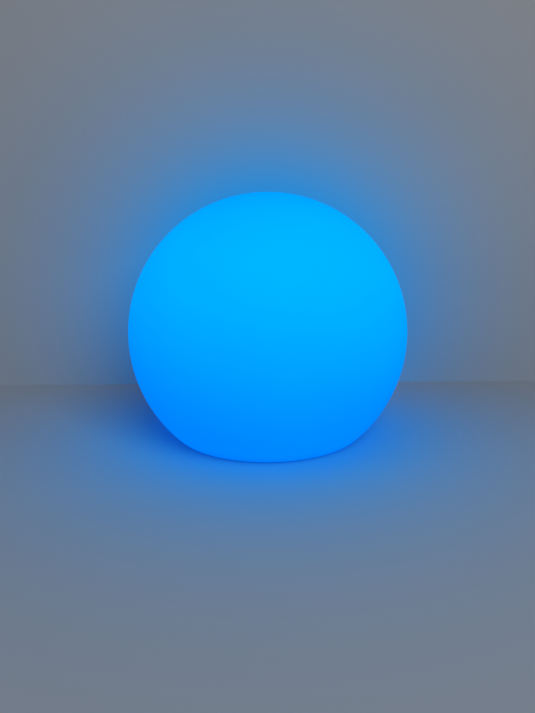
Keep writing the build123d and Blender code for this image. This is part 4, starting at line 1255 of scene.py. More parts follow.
# ---------------------------------------------------------------- the lamp module
@dataclass
class ModuleUnderside(Assembly):
    """What is moulded on the underside of the lamp module.

    The marks stand proud of the underside by the mark's height and start as far inside it. Where
    two strokes cross, one goes a step deeper, so that no faces lie in one plane.
    """

    grip_half_width: float = 7 * MM
    rib_radius: float = 0.55 * MM
    rib_pitch: float = 3 * MM
    ribs_each_side: int = 9
    rib_bottom: float = 3.0 * MM
    rib_top: float = 11.2 * MM
    mark_height: float = 0.3 * MM
    step: float = 0.06 * MM
    arrow_line: float = 1.2 * MM
    arrow_circle: float = 45.5 * MM
    arrow_reach: float = 20.0
    arrow_head: Pair = (3.8 * MM, 3.4 * MM)
    arrow_overlap: float = 0.1 * MM
    lock_circle: float = 37 * MM
    case_size: Pair = (3.4 * MM, 4.6 * MM)
    bow_radius: float = 1.5 * MM
    bow_line: float = 0.66 * MM
    bow_stand: float = 0.8 * MM
    bow_lift: float = 1.5 * MM
    leg_line: float = 0.64 * MM
    leg_bite: float = 0.3 * MM
    open_leg: float = 0.9 * MM
    leg_overlap: float = 0.05 * MM
    polarity_y: float = 38.5 * MM
    sign_x: float = 4.4 * MM
    sign_size: Pair = (0.9 * MM, 0.26 * MM)
    sign_ring: Pair = (0.9 * MM, 1.15 * MM)
    pin_radius: float = 0.5 * MM
    barrel_ring: Pair = (1.2 * MM, 1.5 * MM)
    pin_wire: Pair = (0.4 * MM, 3.3 * MM)
    barrel_wire: Pair = (-3.35 * MM, -1.35 * MM)

    def mark_heights(self) -> Pair:
        """The lower and upper height of a raised mark."""
        return UNDERSIDE - self.mark_height, UNDERSIDE + self.mark_height

    def grip_ribs(self) -> Form:
        """Upright ribs on both faces of the grip bar."""
        rib = rod(self.rib_radius, self.rib_bottom, self.rib_top, self.rib_radius * 0.9, steps=14)
        rows = row(self.ribs_each_side, self.rib_pitch)
        return repeated(rib, [shift(side * self.grip_half_width, y) for side in (-1, 1) for y in rows])

    def stroke(self, size: Pair, x: float, y: float = 0.0, proud: float = 0.0) -> Form:
        """Make a raised bar.

        Args:
            size: Its size along X and Y.
            x: Where its middle is along X.
            y: Where its middle is along Y.
            proud: How much deeper it starts than other strokes.

        Returns:
            The bar.
        """
        low, high = self.mark_heights()
        return block((*size, high - low + proud), (x, y, (low + high - proud) / 2))

    def arrow(self, twist: Twist) -> Form:
        """Make a curved arrow round the module's axis, centred on +X.

        Args:
            twist: The way that it points.

        Returns:
            The arrow.
        """
        low, high = self.mark_heights()
        half, wide = self.arrow_line / 2, self.arrow_head[0] / 2
        line = (self.arrow_circle - half, self.arrow_circle + half)
        shaft = band(line, (low, high), -self.arrow_reach, 2 * self.arrow_reach)
        back, tip = -twist * self.arrow_overlap, twist * self.arrow_head[1]
        point = prism([(-wide, back), (wide, back), (0.0, tip)], low - self.step, high)
        return joined(shaft, moved(point, shift(x=self.arrow_circle), turned(twist * self.arrow_reach)))

    def padlock(self, is_open: bool) -> Form:
        """Make a small padlock whose bow points outwards along +X.

        Args:
            is_open: Whether one leg of its bow is out of the case.

        Returns:
            The padlock.
        """
        case_end = self.case_size[0] / 2
        bow_x = case_end + self.bow_stand + (self.bow_lift if is_open else 0.0)
        bow_edges = (self.bow_radius - self.bow_line / 2, self.bow_radius + self.bow_line / 2)
        bow = moved(band(bow_edges, self.mark_heights(), -90.0, 180.0), shift(x=bow_x))
        parts = [self.stroke(self.case_size, 0.0, proud=self.step), bow]
        inside = case_end - self.leg_bite
        for side, start in ((-1, inside), (1, bow_x - self.open_leg if is_open else inside)):
            length = bow_x + self.leg_overlap - start
            middle = (start + length / 2, side * self.bow_radius)
            parts.append(self.stroke((length, self.leg_line), *middle, proud=-self.step / 2))
        return moved(joined(*parts), shift(x=self.lock_circle))

    def polarity_mark(self) -> Form:
        """The usual mark for a centre-positive charging plug, beyond the bung."""
        low, high = self.mark_heights()
        inner, outer = self.sign_ring
        thick = self.sign_size[1]
        pin = rod(self.pin_radius, low, high, PIN_ROUND, 20)
        parts = [pin, band(self.barrel_ring, (low, high), 30.0, 300.0)]
        for x in (-self.sign_x, self.sign_x):
            parts.append(spun([(inner, low), (outer, low), (outer, high), (inner, high)], 32, (x, 0.0)))
            parts.append(self.stroke(self.sign_size, x))
        parts.append(self.stroke(self.sign_size[::-1], self.sign_x, proud=self.step))
        for start, end in (self.pin_wire, self.barrel_wire):
            parts.append(self.stroke((end - start, thick), (start + end) / 2, proud=self.step))
        return moved(joined(*parts), shift(y=self.polarity_y))

    def build(self) -> None:
        """Add the ribs and the raised marks."""
        self.add("grip_ribs", self.grip_ribs(), Slot.GREY_PLASTIC, "grey_moulding")
        unlocking = moved(joined(self.arrow(Twist.UNLOCK), self.padlock(True)), turned(180.0))
        marks = joined(self.arrow(Twist.LOCK), self.padlock(False), unlocking)
        self.add("locking_marks", marks, Slot.BLACK_PLASTIC, "stamped_marks")
        self.add("polarity_mark", self.polarity_mark(), Slot.BLACK_PLASTIC, "stamped_marks")


@dataclass
class Lens(Assembly):
    """The clear dome, its screws and the seal round the module."""

    flange_bottom: float = foot_of("lens_dome")
    flange_thickness: float = 2.5 * MM
    flange_radius: float = 37.6 * MM
    flange_edge: float = 0.3 * MM
    dome_foot: float = 28.5 * MM
    dome_rise: float = 20 * MM
    wall: float = 2 * MM
    arc_steps: int = 40
    screw_circle: float = 33.2 * MM
    screw_count: int = 4
    hole_radius: float = 1.45 * MM
    overcut: float = 1 * MM
    screw: Screw = Screw(
        radius=1.25 * MM, length=8 * MM, head_radius=2.5 * MM, head_height=1.25 * MM, thread_length=5 * MM
    )
    seal_circle: float = 36.9 * MM
    seal_height: float = middle_of("module_seal").z
    seal_radius: float = 1 * MM

    def dome(self) -> Form:
        """The dome in one piece with its flange, drilled for its screws."""
        radius = (self.dome_foot**2 + self.dome_rise**2) / (2 * self.dome_rise)
        centre = self.flange_bottom + self.dome_rise - radius
        top = self.flange_bottom + self.flange_thickness
        inner = radius - self.wall
        out_tilt = math.degrees(math.asin((top - centre) / radius))
        in_tilt = math.degrees(math.asin((self.flange_bottom - centre) / inner))
        edge = self.flange_edge
        rim = self.flange_radius - edge
        profile = arc((0.0, centre), radius, 90.0, out_tilt, self.arc_steps)
        profile += arc((rim, top - edge), edge, 90.0, 0.0, 3)
        profile += arc((rim, self.flange_bottom + edge), edge, 0.0, -90.0, 3)
        profile += arc((0.0, centre), inner, in_tilt, 90.0, self.arc_steps)
        hole = rod(self.hole_radius, self.flange_bottom - self.overcut, top + self.overcut, DRILL_ROUND)
        places = [turn @ shift(x=self.screw_circle) for turn in around(self.screw_count)]
        return carved(spun(profile, 128, closed=False), repeated(hole, places))

    def build(self) -> None:
        """Add the dome, its screws and the seal."""
        self.add("lens", self.dome(), Slot.CLEAR_PLASTIC, "clear_moulding", "lens_dome")
        seat = shift(x=self.screw_circle, z=self.flange_bottom + self.flange_thickness)
        screws = repeated(self.screw.model(), [turn @ seat for turn in around(self.screw_count)])
        self.add("lens_fixings", screws, Slot.STEEL, "plated_steel", "lens_screws")
        section = arc((self.seal_circle, self.seal_height), self.seal_radius, 0.0, 360.0, 20)[:-1]
        self.add("seal_ring", spun(section, 144), Slot.BLACK_SILICONE, "black_silicone", "module_seal")
        self.dress_nodes({"lens_gasket": "black_silicone"})


@dataclass
class LedPlate(Assembly):
    """The round LED board, its LEDs, receiver and screws, on its frame."""

    top: float = top_of("led_plate")
    led_circle: float = 18.45 * MM
    led_count: int = 12
    led_side: float = 5 * MM
    led_top: float = top_of("led_chips")
    window_radius: float = 2 * MM
    window_gap: float = 0.02 * MM
    window_depth: float = 0.4 * MM
    window_edge: float = 0.24 * MM
    window_shoulder: float = 0.33 * MM
    window_rise: float = 0.36 * MM
    leg_pitch: float = 1.6 * MM
    leg_size: Triple = (0.9 * MM, 0.25 * MM, 0.9 * MM)
    leg_round: float = 0.05 * MM
    foot_size: Triple = (1.1 * MM, 0.9 * MM, 0.2 * MM)
    foot_reach: float = 0.4 * MM
    foot_round: float = 0.08 * MM
    receiver_pitch: float = 2.0 * MM
    receiver_leg: Triple = (0.5 * MM, 1.2 * MM, 0.35 * MM)
    receiver_leg_y: float = -2.9 * MM
    receiver_leg_z: float = 0.45 * MM
    receiver_leg_round: float = 0.06 * MM
    receiver_joint_y: float = -3.5 * MM
    plate_screw_count: int = 3
    plate_screw_circle: float = 25.0 * MM
    plate_screw: Screw = Screw(
        radius=1.0 * MM,
        length=3.5 * MM,
        head_radius=2.0 * MM,
        head_height=1.0 * MM,
        thread_length=3 * MM,
        pitch=0.5 * MM,
    )
    frame_screw: Screw = Screw(
        radius=1.25 * MM, length=32 * MM, head_radius=2.5 * MM, head_height=1.25 * MM, thread_length=7 * MM
    )
    frame_top: float = top_of("inner_frame")
    post_x: float = 18.5 * MM
    post_y: float = 24.5 * MM

    def led_places(self) -> list[Matrix]:
        """Where the LEDs stand, half a step round from the plate's screws."""
        return [turn @ shift(x=self.led_circle) for turn in around(self.led_count, 180.0 / self.led_count)]

    def windows(self) -> Form:
        """The domed encapsulant in each LED's cup."""
        floor = self.led_top - self.window_depth
        edge = self.window_radius - self.window_gap
        profile = [(0.0, floor), (edge, floor), (edge, floor + self.window_edge)]
        profile += [(edge * 0.6, floor + self.window_shoulder), (0.0, floor + self.window_rise)]
        return repeated(spun(profile, 32, closed=False), self.led_places())

    def led_legs(self) -> Form:
        """Three folded legs on each of two sides of every LED, in their solder."""
        legs = []
        for side in (-1, 1):
            for index in (-1, 0, 1):
                x, y = index * self.leg_pitch, side * self.led_side / 2
                upright = (x, y, self.top + self.leg_size[2] / 2)
                foot = (x, y + side * self.foot_reach, self.top + self.foot_size[2] / 2)
                legs.append(block(self.leg_size, upright, self.leg_round, 1))
                legs.append(block(self.foot_size, foot, self.foot_round, 1))
        return repeated(joined(*legs), self.led_places())

    def receiver_legs(self) -> Form:
        """The receiver's three legs and their solder."""
        middle = (0.0, self.receiver_leg_y, self.top + self.receiver_leg_z)
        leg = block(self.receiver_leg, middle, self.receiver_leg_round, 1)
        joint_place = (0.0, self.receiver_joint_y, self.top)
        joint = solder_cone(foot=0.85 * MM, pin=0.2 * MM, height=0.8 * MM, place=joint_place)
        return repeated(joined(leg, joint), [shift(x=index * self.receiver_pitch) for index in (-1, 0, 1)])

    def build(self) -> None:
        """Add the LEDs' details and the screws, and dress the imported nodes."""
        self.add("led_windows", self.windows(), Slot.LED_WHITE, "led_window", smooth_angle=60.0)
        self.add("led_legs", self.led_legs(), Slot.STEEL, "solder")
        self.add("receiver_legs", self.receiver_legs(), Slot.STEEL, "solder")
        seat = shift(x=self.plate_screw_circle, z=self.top)
        screws = repeated(self.plate_screw.model(), [turn @ seat for turn in around(self.plate_screw_count)])
        self.add("plate_fixings", screws, Slot.STEEL, "plated_steel", "plate_screws")
        posts = mirrored_places(self.post_x, self.post_y, self.frame_top)
        screws = repeated(self.frame_screw.model(), posts)
        self.add("frame_fixings", screws, Slot.STEEL, "plated_steel", "frame_screws")
        self.dress_nodes(
            {
                "inner_frame": "white_moulding",
                "led_plate": "led_board",
                "led_chips": "white_moulding",
                "ir_receiver": "black_moulding",
            }
        )


# ---------------------------------------------------------------- the control board
BOARD_TOP = top_of("control_board")


@dataclass
class DriverChip(Assembly):
    """The chip that drives the LEDs, with its legs."""

    x: float = middle_of("driver_chip").x
    y: float = middle_of("driver_chip").y
    half: float = 3.5 * MM
    leg_bite: float = 0.1 * MM
    leg_half: float = 0.17 * MM
    leg_thickness: float = 0.12 * MM
    leg_height: float = 0.6 * MM
    leg_bends: tuple[Pair, ...] = ((0.45 * MM, 0.0), (0.2 * MM, -0.56 * MM), (0.55 * MM, -0.02 * MM))
    leg_pitch: float = 0.8 * MM
    legs_each_side: int = 8

    def legs(self) -> Form:
        """Gull-wing legs on the four sides of the chip."""
        leg = bmesh.new()
        half, high = self.leg_half, self.leg_thickness
        root = self.half - self.leg_bite
        section = ((-half, 0.0), (half, 0.0), (half, high), (-half, high))
        end = leg.faces.new([leg.verts.new((root, y, self.leg_height + z)) for y, z in section])
        for index, (along, up) in enumerate(self.leg_bends):
            region = bmesh.ops.extrude_face_region(leg, geom=[end])["geom"]
            moving = [part for part in region if isinstance(part, bmesh.types.BMVert)]
            bmesh.ops.translate(leg, vec=(along, 0.0, up), verts=moving)
            if index > 0:
                bmesh.ops.delete(leg, geom=[end], context="FACES_ONLY")
            end = next(part for part in region if isinstance(part, bmesh.types.BMFace))
        side = repeated(leg, [shift(y=y) for y in row(self.legs_each_side, self.leg_pitch)])
        return moved(repeated(side, around(4)), shift(self.x, self.y, BOARD_TOP))

    def build(self) -> None:
        """Add the legs, and dress the chip."""
        self.add("chip_legs", self.legs(), Slot.STEEL, "solder")
        self.dress_nodes({"driver_chip": "black_moulding"})


@dataclass
class Choke(Assembly):
    """The power choke: a wound drum in a square ferrite shield."""

    x: float = middle_of("choke_coil").x
    y: float = middle_of("choke_coil").y
    side: float = 8 * MM
    height: float = 4 * MM
    corner: float = 1.4 * MM
    floor: float = 1 * MM
    bore_radius: float = 3.35 * MM
    overcut: float = 1 * MM
    flange_radius: float = 2.9 * MM
    core_radius: float = 1.4 * MM
    lower_flange: float = 0.4 * MM
    upper_flange: float = 0.7 * MM
    chamfer: float = 0.15 * MM
    wire_radius: float = 0.2 * MM
    wire_gap: float = 0.006 * MM
    first_turn: Point = (1.8 * MM, 1.6 * MM)
    layers: int = 3
    turns_in_layer: int = 5

    def shield(self) -> Form:
        """The shield, open at the top."""
        case = block((self.side, self.side, self.height), (0.0, 0.0, self.height / 2))
        posts = [edge for edge in case.edges if edge.verts[0].co.xy == edge.verts[1].co.xy]
        rounded(case, posts, self.corner, 4)
        bore = rod(self.bore_radius, self.floor, self.height + self.overcut, DRILL_ROUND, 48)
        return moved(carved(case, bore), shift(self.x, self.y, BOARD_TOP))

    def drum(self) -> Form:
        """The drum that the wire is wound on, inside the shield."""
        low, high, flange = self.floor, self.height, self.flange_radius
        outline = [(0.0, low), (flange, low), (flange, low + self.lower_flange)]
        outline += [(self.core_radius, low + self.lower_flange), (self.core_radius, high - self.upper_flange)]
        outline += [(flange, high - self.upper_flange), (flange, high - self.chamfer)]
        outline += [(flange - self.chamfer, high), (0.0, high)]
        return moved(spun(outline, 48, closed=False), shift(self.x, self.y, BOARD_TOP))

    def winding(self) -> Form:
        """Layers of enamelled wire on the drum, each laid between the turns of the last."""
        turns = []
        for layer in range(self.layers):
            radius = self.first_turn[0] + layer * 2 * self.wire_radius
            for index in range(self.turns_in_layer):
                height = self.first_turn[1] + (index * 2 + layer % 2) * self.wire_radius
                section = arc((radius, height), self.wire_radius - self.wire_gap, 0.0, 360.0, 8)[:-1]
                turns.append(spun(section, 40))
        return moved(joined(*turns), shift(self.x, self.y, BOARD_TOP))

    def build(self) -> None:
        """Add the shield, the drum and its wire."""
        self.add("choke_shield", self.shield(), Slot.BLACK_PLASTIC, "ferrite", "choke_coil")
        self.add("choke_drum", self.drum(), Slot.BLACK_PLASTIC, "ferrite")
        self.add("choke_winding", self.winding(), Slot.BRASS, "copper")


@dataclass
class Capacitor(Assembly):
    """The buffer capacitor: an aluminium can in a shrunk sleeve."""

    place: Point = (10.5 * MM, -18.5 * MM)
    radius: float = 4 * MM
    height: float = 11 * MM
    sleeve: float = 0.15 * MM
    can_foot: float = 0.2 * MM
    crimp_bottom: float = 1.4 * MM
    crimp_height: float = 0.4 * MM
    crimp_depth: float = 0.45 * MM
    shoulder: float = 0.6 * MM
    score: Triple = (5 * MM, 0.25 * MM, 0.3 * MM)
    sleeve_foot: float = 0.1 * MM
    sleeve_wall: float = 0.2 * MM
    sleeve_bend: float = 0.65 * MM
    sleeve_crimp: float = 0.3 * MM
    lip_reach: float = 1.1 * MM
    lip_top: float = 0.03 * MM
    lip_bottom: float = -0.02 * MM
    lip_bend: float = -0.04 * MM
    stripe_bite: float = 0.05 * MM
    stripe_proud: float = 0.03 * MM
    stripe_heights: Pair = (2.6 * MM, 10.2 * MM)
    stripe_start: float = 200.0
    stripe_sweep: float = 40.0

    def can(self) -> Form:
        """The can, crimped near its foot and scored on top."""
        radius = self.radius - self.sleeve
        crimp = self.crimp_bottom + self.crimp_height
        profile = [(0.0, self.can_foot), (radius, self.can_foot), (radius, self.crimp_bottom)]
        profile += [(radius - self.crimp_depth, crimp), (radius, crimp + self.crimp_height)]
        profile += arc((radius - self.shoulder, self.height - self.shoulder), self.shoulder, 0.0, 90.0, 5)
        profile.append((0.0, self.height))
        score = block(self.score, (0.0, 0.0, self.height))
        can = carved(spun(profile, 56, closed=False), repeated(score, [turned(0.0), turned(90.0)]))
        return moved(can, shift(*self.place, BOARD_TOP))

    def shrunk_sleeve(self) -> Form:
        """The sleeve, drawn over the can's rim."""
        radius, high, foot = self.radius, self.height, self.sleeve_foot
        bend, inside, lip = self.sleeve_bend, self.radius - self.sleeve_wall, self.radius - self.lip_reach
        crimp = self.crimp_bottom + self.crimp_height
        outer = [(radius - self.sleeve, foot), (radius, 2 * foot), (radius, self.crimp_bottom)]
        outer += [(radius - self.sleeve_crimp, crimp), (radius, crimp + self.crimp_height)]
        outer += arc((radius - bend, high - self.shoulder), bend, 0.0, 90.0, 5)
        inner = [(lip, high + self.lip_top), (lip, high + self.lip_bottom)]
        inner += [(radius - bend, high + self.lip_bend), (inside, high - self.shoulder), (inside, foot)]
        return moved(spun(outer + inner, 56), shift(*self.place, BOARD_TOP))

    def stripe(self) -> Form:
        """The pale stripe down the sleeve that marks one pole."""
        line = (self.radius - self.stripe_bite, self.radius + self.stripe_proud)
        stripe = band(line, self.stripe_heights, self.stripe_start, self.stripe_sweep, 10)
        return moved(stripe, shift(*self.place, BOARD_TOP))

    def build(self) -> None:
        """Add the can, its sleeve and the stripe."""
        self.add("capacitor_can", self.can(), Slot.ALUMINIUM, "aluminium", "buffer_capacitor")
        self.add("capacitor_sleeve", self.shrunk_sleeve(), Slot.BLACK_PLASTIC, "sleeve_black")
        self.add("sleeve_stripe", self.stripe(), Slot.WHITE_PLASTIC, "white_moulding")


@dataclass
class SwitchCover(Assembly):
    """The pressed plate over the switch, with four rivets and folded legs."""

    y: float = middle_of("tact_switch").y
    switch_bottom: float = foot_of("tact_switch")
    board_bottom: float = foot_of("control_board")
    side: float = 6 * MM
    thickness: float = 0.22 * MM
    hole_radius: float = 1.9 * MM
    overcut: float = 1 * MM
    rivet_radius: float = 0.4 * MM
    rivet_heights: Pair = (-0.08 * MM, 0.2 * MM)
    rivet_place: float = 2.35 * MM
    leg_place: Point = (3.08 * MM, 2.25 * MM)
    leg_size: Triple = (0.15 * MM, 0.7 * MM, 3.3 * MM)
    foot_x: float = 3.45 * MM
    foot_size: Triple = (0.9 * MM, 0.7 * MM, 0.15 * MM)
    foot_drop: float = 0.08 * MM
    leg_round: float = 0.03 * MM

    def cover(self) -> Form:
        """The plate, its rivets and its legs, in one piece."""
        low = self.switch_bottom - self.thickness
        middle = (0.0, 0.0, low + self.thickness / 2)
        plate = block((self.side, self.side, self.thickness), middle, PRESSED_EDGE, 1)
        hole = rod(self.hole_radius, low - self.overcut, low + self.overcut, PIN_ROUND, 32)
        rivet = rod(self.rivet_radius, *[low + height for height in self.rivet_heights], TINNED_EDGE, 14)
        rivets = repeated(rivet, mirrored_places(self.rivet_place, self.rivet_place))
        leg_x, leg_y = self.leg_place
        upright = (leg_x, leg_y, self.board_bottom - self.leg_size[2] / 2)
        foot = (self.foot_x, leg_y, self.board_bottom - self.foot_drop)
        leg = block(self.leg_size, upright, self.leg_round, 1)
        leg = joined(leg, block(self.foot_size, foot, self.leg_round, 1))
        legs = repeated(leg, [Matrix.Diagonal((x, y, 1.0, 1.0)) for x in (-1, 1) for y in (-1, 1)])
        return moved(joined(carved(plate, hole), rivets, legs), shift(y=self.y))

    def build(self) -> None:
        """Add the cover."""
        self.add("switch_cover", self.cover(), Slot.STEEL, "plated_steel")


@dataclass
class ControlBoard(Assembly):
    """The control board and the small parts soldered to it."""

    front_columns: tuple[float, ...] = (-17.5 * MM, -14.0 * MM, 12.5 * MM, 16.0 * MM)
    front_rows: tuple[float, ...] = (13.5 * MM, 16.0 * MM, 18.5 * MM, 21.0 * MM)
    back_columns: tuple[float, ...] = (-19.0 * MM, -15.5 * MM)
    back_rows: tuple[float, ...] = (-13.5 * MM, -16.0 * MM, -18.5 * MM)
    spare_columns: tuple[float, ...] = (-9.0 * MM, -6.5 * MM)
    spare_row: float = -21.0 * MM
    part_length: float = 1.3 * MM
    part_width: float = 1.2 * MM
    part_gap: float = 0.05 * MM
    resistor_height: float = 0.5 * MM
    capacitor_height: float = 0.8 * MM
    end_x: float = 0.82 * MM
    end_length: float = 0.4 * MM
    end_width: float = 1.25 * MM
    fillet_reach: Pair = (0.95 * MM, 1.5 * MM)
    fillet_height: float = 0.18 * MM
    rectifier_place: Point = (-10.5 * MM, -15.0 * MM)
    rectifier_size: Triple = (4.3 * MM, 2.6 * MM, 2.0 * MM)
    rectifier_middle: float = 1.1 * MM
    crystal_x: float = middle_of("driver_chip").x
    crystal_y: float = 25.6 * MM
    crystal_middle: float = 0.4 * MM
    crystal_size: Triple = (3.2 * MM, 1.6 * MM, 0.7 * MM)
    socket_pins: tuple[Point, ...] = ((-2.6 * MM, 26.0 * MM), (2.6 * MM, 26.0 * MM), (0.0, 29.0 * MM))

    def chip_part_places(self, kind: ChipPart) -> list[Matrix]:
        """Find where one kind of chip part sits on the board.

        Args:
            kind: The kind of part.

        Returns:
            The place of each such part.
        """
        quarter = turned(90.0)
        places = [shift(x, y, BOARD_TOP) for x in self.front_columns for y in self.front_rows]
        places += [shift(x, y, BOARD_TOP) @ quarter for x in self.back_columns for y in self.back_rows]
        places += [shift(x, self.spare_row, BOARD_TOP) @ quarter for x in self.spare_columns]
        return places[kind :: len(ChipPart)]

    def part_height(self, kind: ChipPart) -> float:
        """How high one kind of chip part is."""
        return self.resistor_height if kind is ChipPart.RESISTOR else self.capacitor_height

    def chip_parts(self, kind: ChipPart) -> Form:
        """Make the bodies of one kind of chip part.

        Args:
            kind: The kind of part.

        Returns:
            The bodies in their places.
        """
        height = self.part_height(kind)
        middle = (0.0, 0.0, self.part_gap + height / 2)
        body = block((self.part_length, self.part_width, height), middle, PRESSED_EDGE, 1)
        return repeated(body, self.chip_part_places(kind))

    def chip_part_ends(self) -> Form:
        """The tinned ends of the chip parts, with their solder fillets."""
        ends = []
        near, far = self.fillet_reach
        half = self.part_width / 2
        for kind in ChipPart:
            height = self.part_height(kind) + self.part_gap
            size = (self.end_length, self.end_width, height)
            cap = block(size, (self.end_x, 0.0, height / 2), TINNED_EDGE, 1)
            outline = [(near, -half), (far, -half * 0.75), (far, half * 0.75), (near, half)]
            fillet = prism(outline, 0.0, self.fillet_height)
            both = repeated(joined(cap, fillet), around(2))
            ends.append(repeated(both, self.chip_part_places(kind)))
        return joined(*ends)

    def rectifier(self) -> Form:
        """The moulded diode in the charging line."""
        body = block(self.rectifier_size, (0.0, 0.0, self.rectifier_middle), CASE_EDGE)
        return moved(body, turned(90.0), shift(*self.rectifier_place, BOARD_TOP))

    def crystal(self) -> Form:
        """The metal-canned crystal beside the chip."""
        can = block(self.crystal_size, (0.0, 0.0, self.crystal_middle), CASE_EDGE)
        return moved(can, shift(self.crystal_x, self.crystal_y, BOARD_TOP))

    def solder_joints(self) -> Form:
        """Solder cones where the pins of the charging socket come through."""
        cone = solder_cone(foot=1.1 * MM, pin=0.35 * MM, height=1.1 * MM)
        return repeated(cone, [shift(x, y, BOARD_TOP) for x, y in self.socket_pins])

    def build(self) -> None:
        """Add the soldered parts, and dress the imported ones."""
        resistors, capacitors = (self.chip_parts(kind) for kind in ChipPart)
        self.add("resistors", resistors, Slot.BLACK_PLASTIC, "black_moulding")
        self.add("small_capacitors", capacitors, Slot.WHITE_PLASTIC, "tan_ceramic")
        self.add("small_part_ends", self.chip_part_ends(), Slot.STEEL, "solder")
        self.add("rectifier", self.rectifier(), Slot.BLACK_PLASTIC, "black_moulding")
        self.add("crystal", self.crystal(), Slot.STEEL, "plated_steel")
        self.add("solder_joints", self.solder_joints(), Slot.STEEL, "solder")
        self.dress_nodes(
            {
                "control_board": "green_board",
                "tact_switch": "black_moulding",
                "status_led": "white_moulding",
            }
        )


@dataclass
class Leads(Assembly):
    """The four leads from the control board to the LED plate, with their plugs and crimps."""

    y: float = middle_of("board_connector").y
    size: Triple = (9 * MM, 5 * MM, 5 * MM)
    led_plug_bottom: float = foot_of("led_connector")
    lead_count: int = 4
    lead_pitch: float = 2 * MM
    edge: float = 0.2 * MM
    cavity_size: Triple = (1.5 * MM, 1.9 * MM, 3 * MM)
    window_size: Triple = (0.9 * MM, 0.8 * MM, 1.3 * MM)
    slot_size: Triple = (0.7 * MM, 0.8 * MM, 6 * MM)
    crimp_radius: float = 0.68 * MM
    crimp_length: float = 1.2 * MM
    crimp_depth: float = 1.4 * MM
    crimp_start: float = 0.2 * MM

    def lead_places(self) -> list[Matrix]:
        """Where the leads stand in a row along X."""
        return [shift(x=x) for x in row(self.lead_count, self.lead_pitch)]

    def housing(self) -> Form:
        """A plug's housing on Z, whose cavities face up to the leads."""
        _, depth, height = self.size
        places = self.lead_places()
        cavity = block(self.cavity_size, (0.0, 0.0, height))
        window = block(self.window_size, (0.0, -depth / 2, height * 0.55))
        slot = block(self.slot_size, (0.0, depth / 2, height * 0.7))
        ends = [places[0], places[-1]]
        tool = joined(repeated(cavity, places), repeated(window, places), repeated(slot, ends))
        return carved(block(self.size, (0.0, 0.0, height / 2), self.edge, 1), tool)

    def crimps(self) -> Form:
        """The crimped contacts at both ends of the leads."""
        barrel = rod(self.crimp_radius, 0.0, self.crimp_length, DRILL_ROUND, 14)
        low = BOARD_TOP + self.size[2] - self.crimp_depth
        high = self.led_plug_bottom + self.crimp_start
        places = [shift(y=self.y, z=z) @ place for z in (low, high) for place in self.lead_places()]
        return repeated(barrel, places)

    def build(self) -> None:
        """Add the plugs and crimps, and dress the leads."""
        over = Matrix.Diagonal((1.0, 1.0, -1.0, 1.0))
        board_plug = moved(self.housing(), shift(y=self.y, z=BOARD_TOP))
        led_plug = moved(self.housing(), over, shift(y=self.y, z=self.led_plug_bottom + self.size[2]))
        self.add("board_plug", board_plug, Slot.WHITE_PLASTIC, "white_moulding", "board_connector")
        self.add("led_plug", led_plug, Slot.WHITE_PLASTIC, "white_moulding", "led_connector")
        self.add("crimps", self.crimps(), Slot.BRASS, "brass")
        self.dress_nodes({name: name for name in ("lead_red", "lead_green", "lead_blue", "lead_white")})


# ---------------------------------------------------------------- battery, base, button and bung
@dataclass
class BatteryBay(Assembly):
    """The cell in its holder."""

    cell_z: float = middle_of("battery_cell").z
    cell_start: float = -25.5 * MM
    cell_end: float = 24.5 * MM
    cell_radius: float = 9.1 * MM
    ring_edges: Pair = (3.3 * MM, 7.6 * MM)
    ring_thickness: float = 0.15 * MM
    lip_reach: Pair = (1.6 * MM, 0.9 * MM)
    lip_section: Triple = (0.02 * MM, 0.12 * MM, 0.08 * MM)

    def end_ring(self) -> Form:
        """The pale insulating ring round the cell's positive cap."""
        inner, outer = self.ring_edges
        high = self.ring_thickness
        ring = spun([(inner, 0.0), (outer, 0.0), (outer, high), (inner, high)], 64)
        return moved(ring, turned(90.0, "Y"), shift(self.cell_end, 0.0, self.cell_z))

    def sleeve_lips(self) -> Form:
        """The sleeve's shrunk lips, turned in over both ends of the cell."""
        inside, outside = (self.cell_radius - reach for reach in self.lip_reach)
        outer_low, outer_high, inner_high = self.lip_section
        section = [(inside, 0.0), (outside, outer_low), (outside, outer_high), (inside, inner_high)]
        front = moved(spun(section, 64), turned(90.0, "Y"), shift(self.cell_end))
        back = moved(spun(section, 64), turned(-90.0, "Y"), shift(self.cell_start))
        return moved(joined(front, back), shift(z=self.cell_z))

    def build(self) -> None:
        """Add the cell's ring and lips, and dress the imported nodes."""
        self.add("cell_end_ring", self.end_ring(), Slot.WHITE_PLASTIC, "white_moulding")
        self.add("sleeve_lips", self.sleeve_lips(), Slot.CELL_WRAP, "cell_wrap")
        self.dress_nodes(
            {
                "battery_holder": "black_moulding",
                "battery_contacts": "plated_steel",
                "battery_cell": "cell_wrap",
            }
        )


@dataclass
class ModuleBase(Assembly):
    """The module's moulded base, its charging socket and its charge indicator."""

    def build(self) -> None:
        """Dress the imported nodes."""
        self.dress_nodes(
            {
                "module_base": "grey_moulding",
                "status_light_pipe": "milky_moulding",
                "charge_socket": "black_moulding",
                "charge_pin": "brass",
                "socket_washer": "black_silicone",
                "bung_anchor": "grey_silicone",
            }
        )


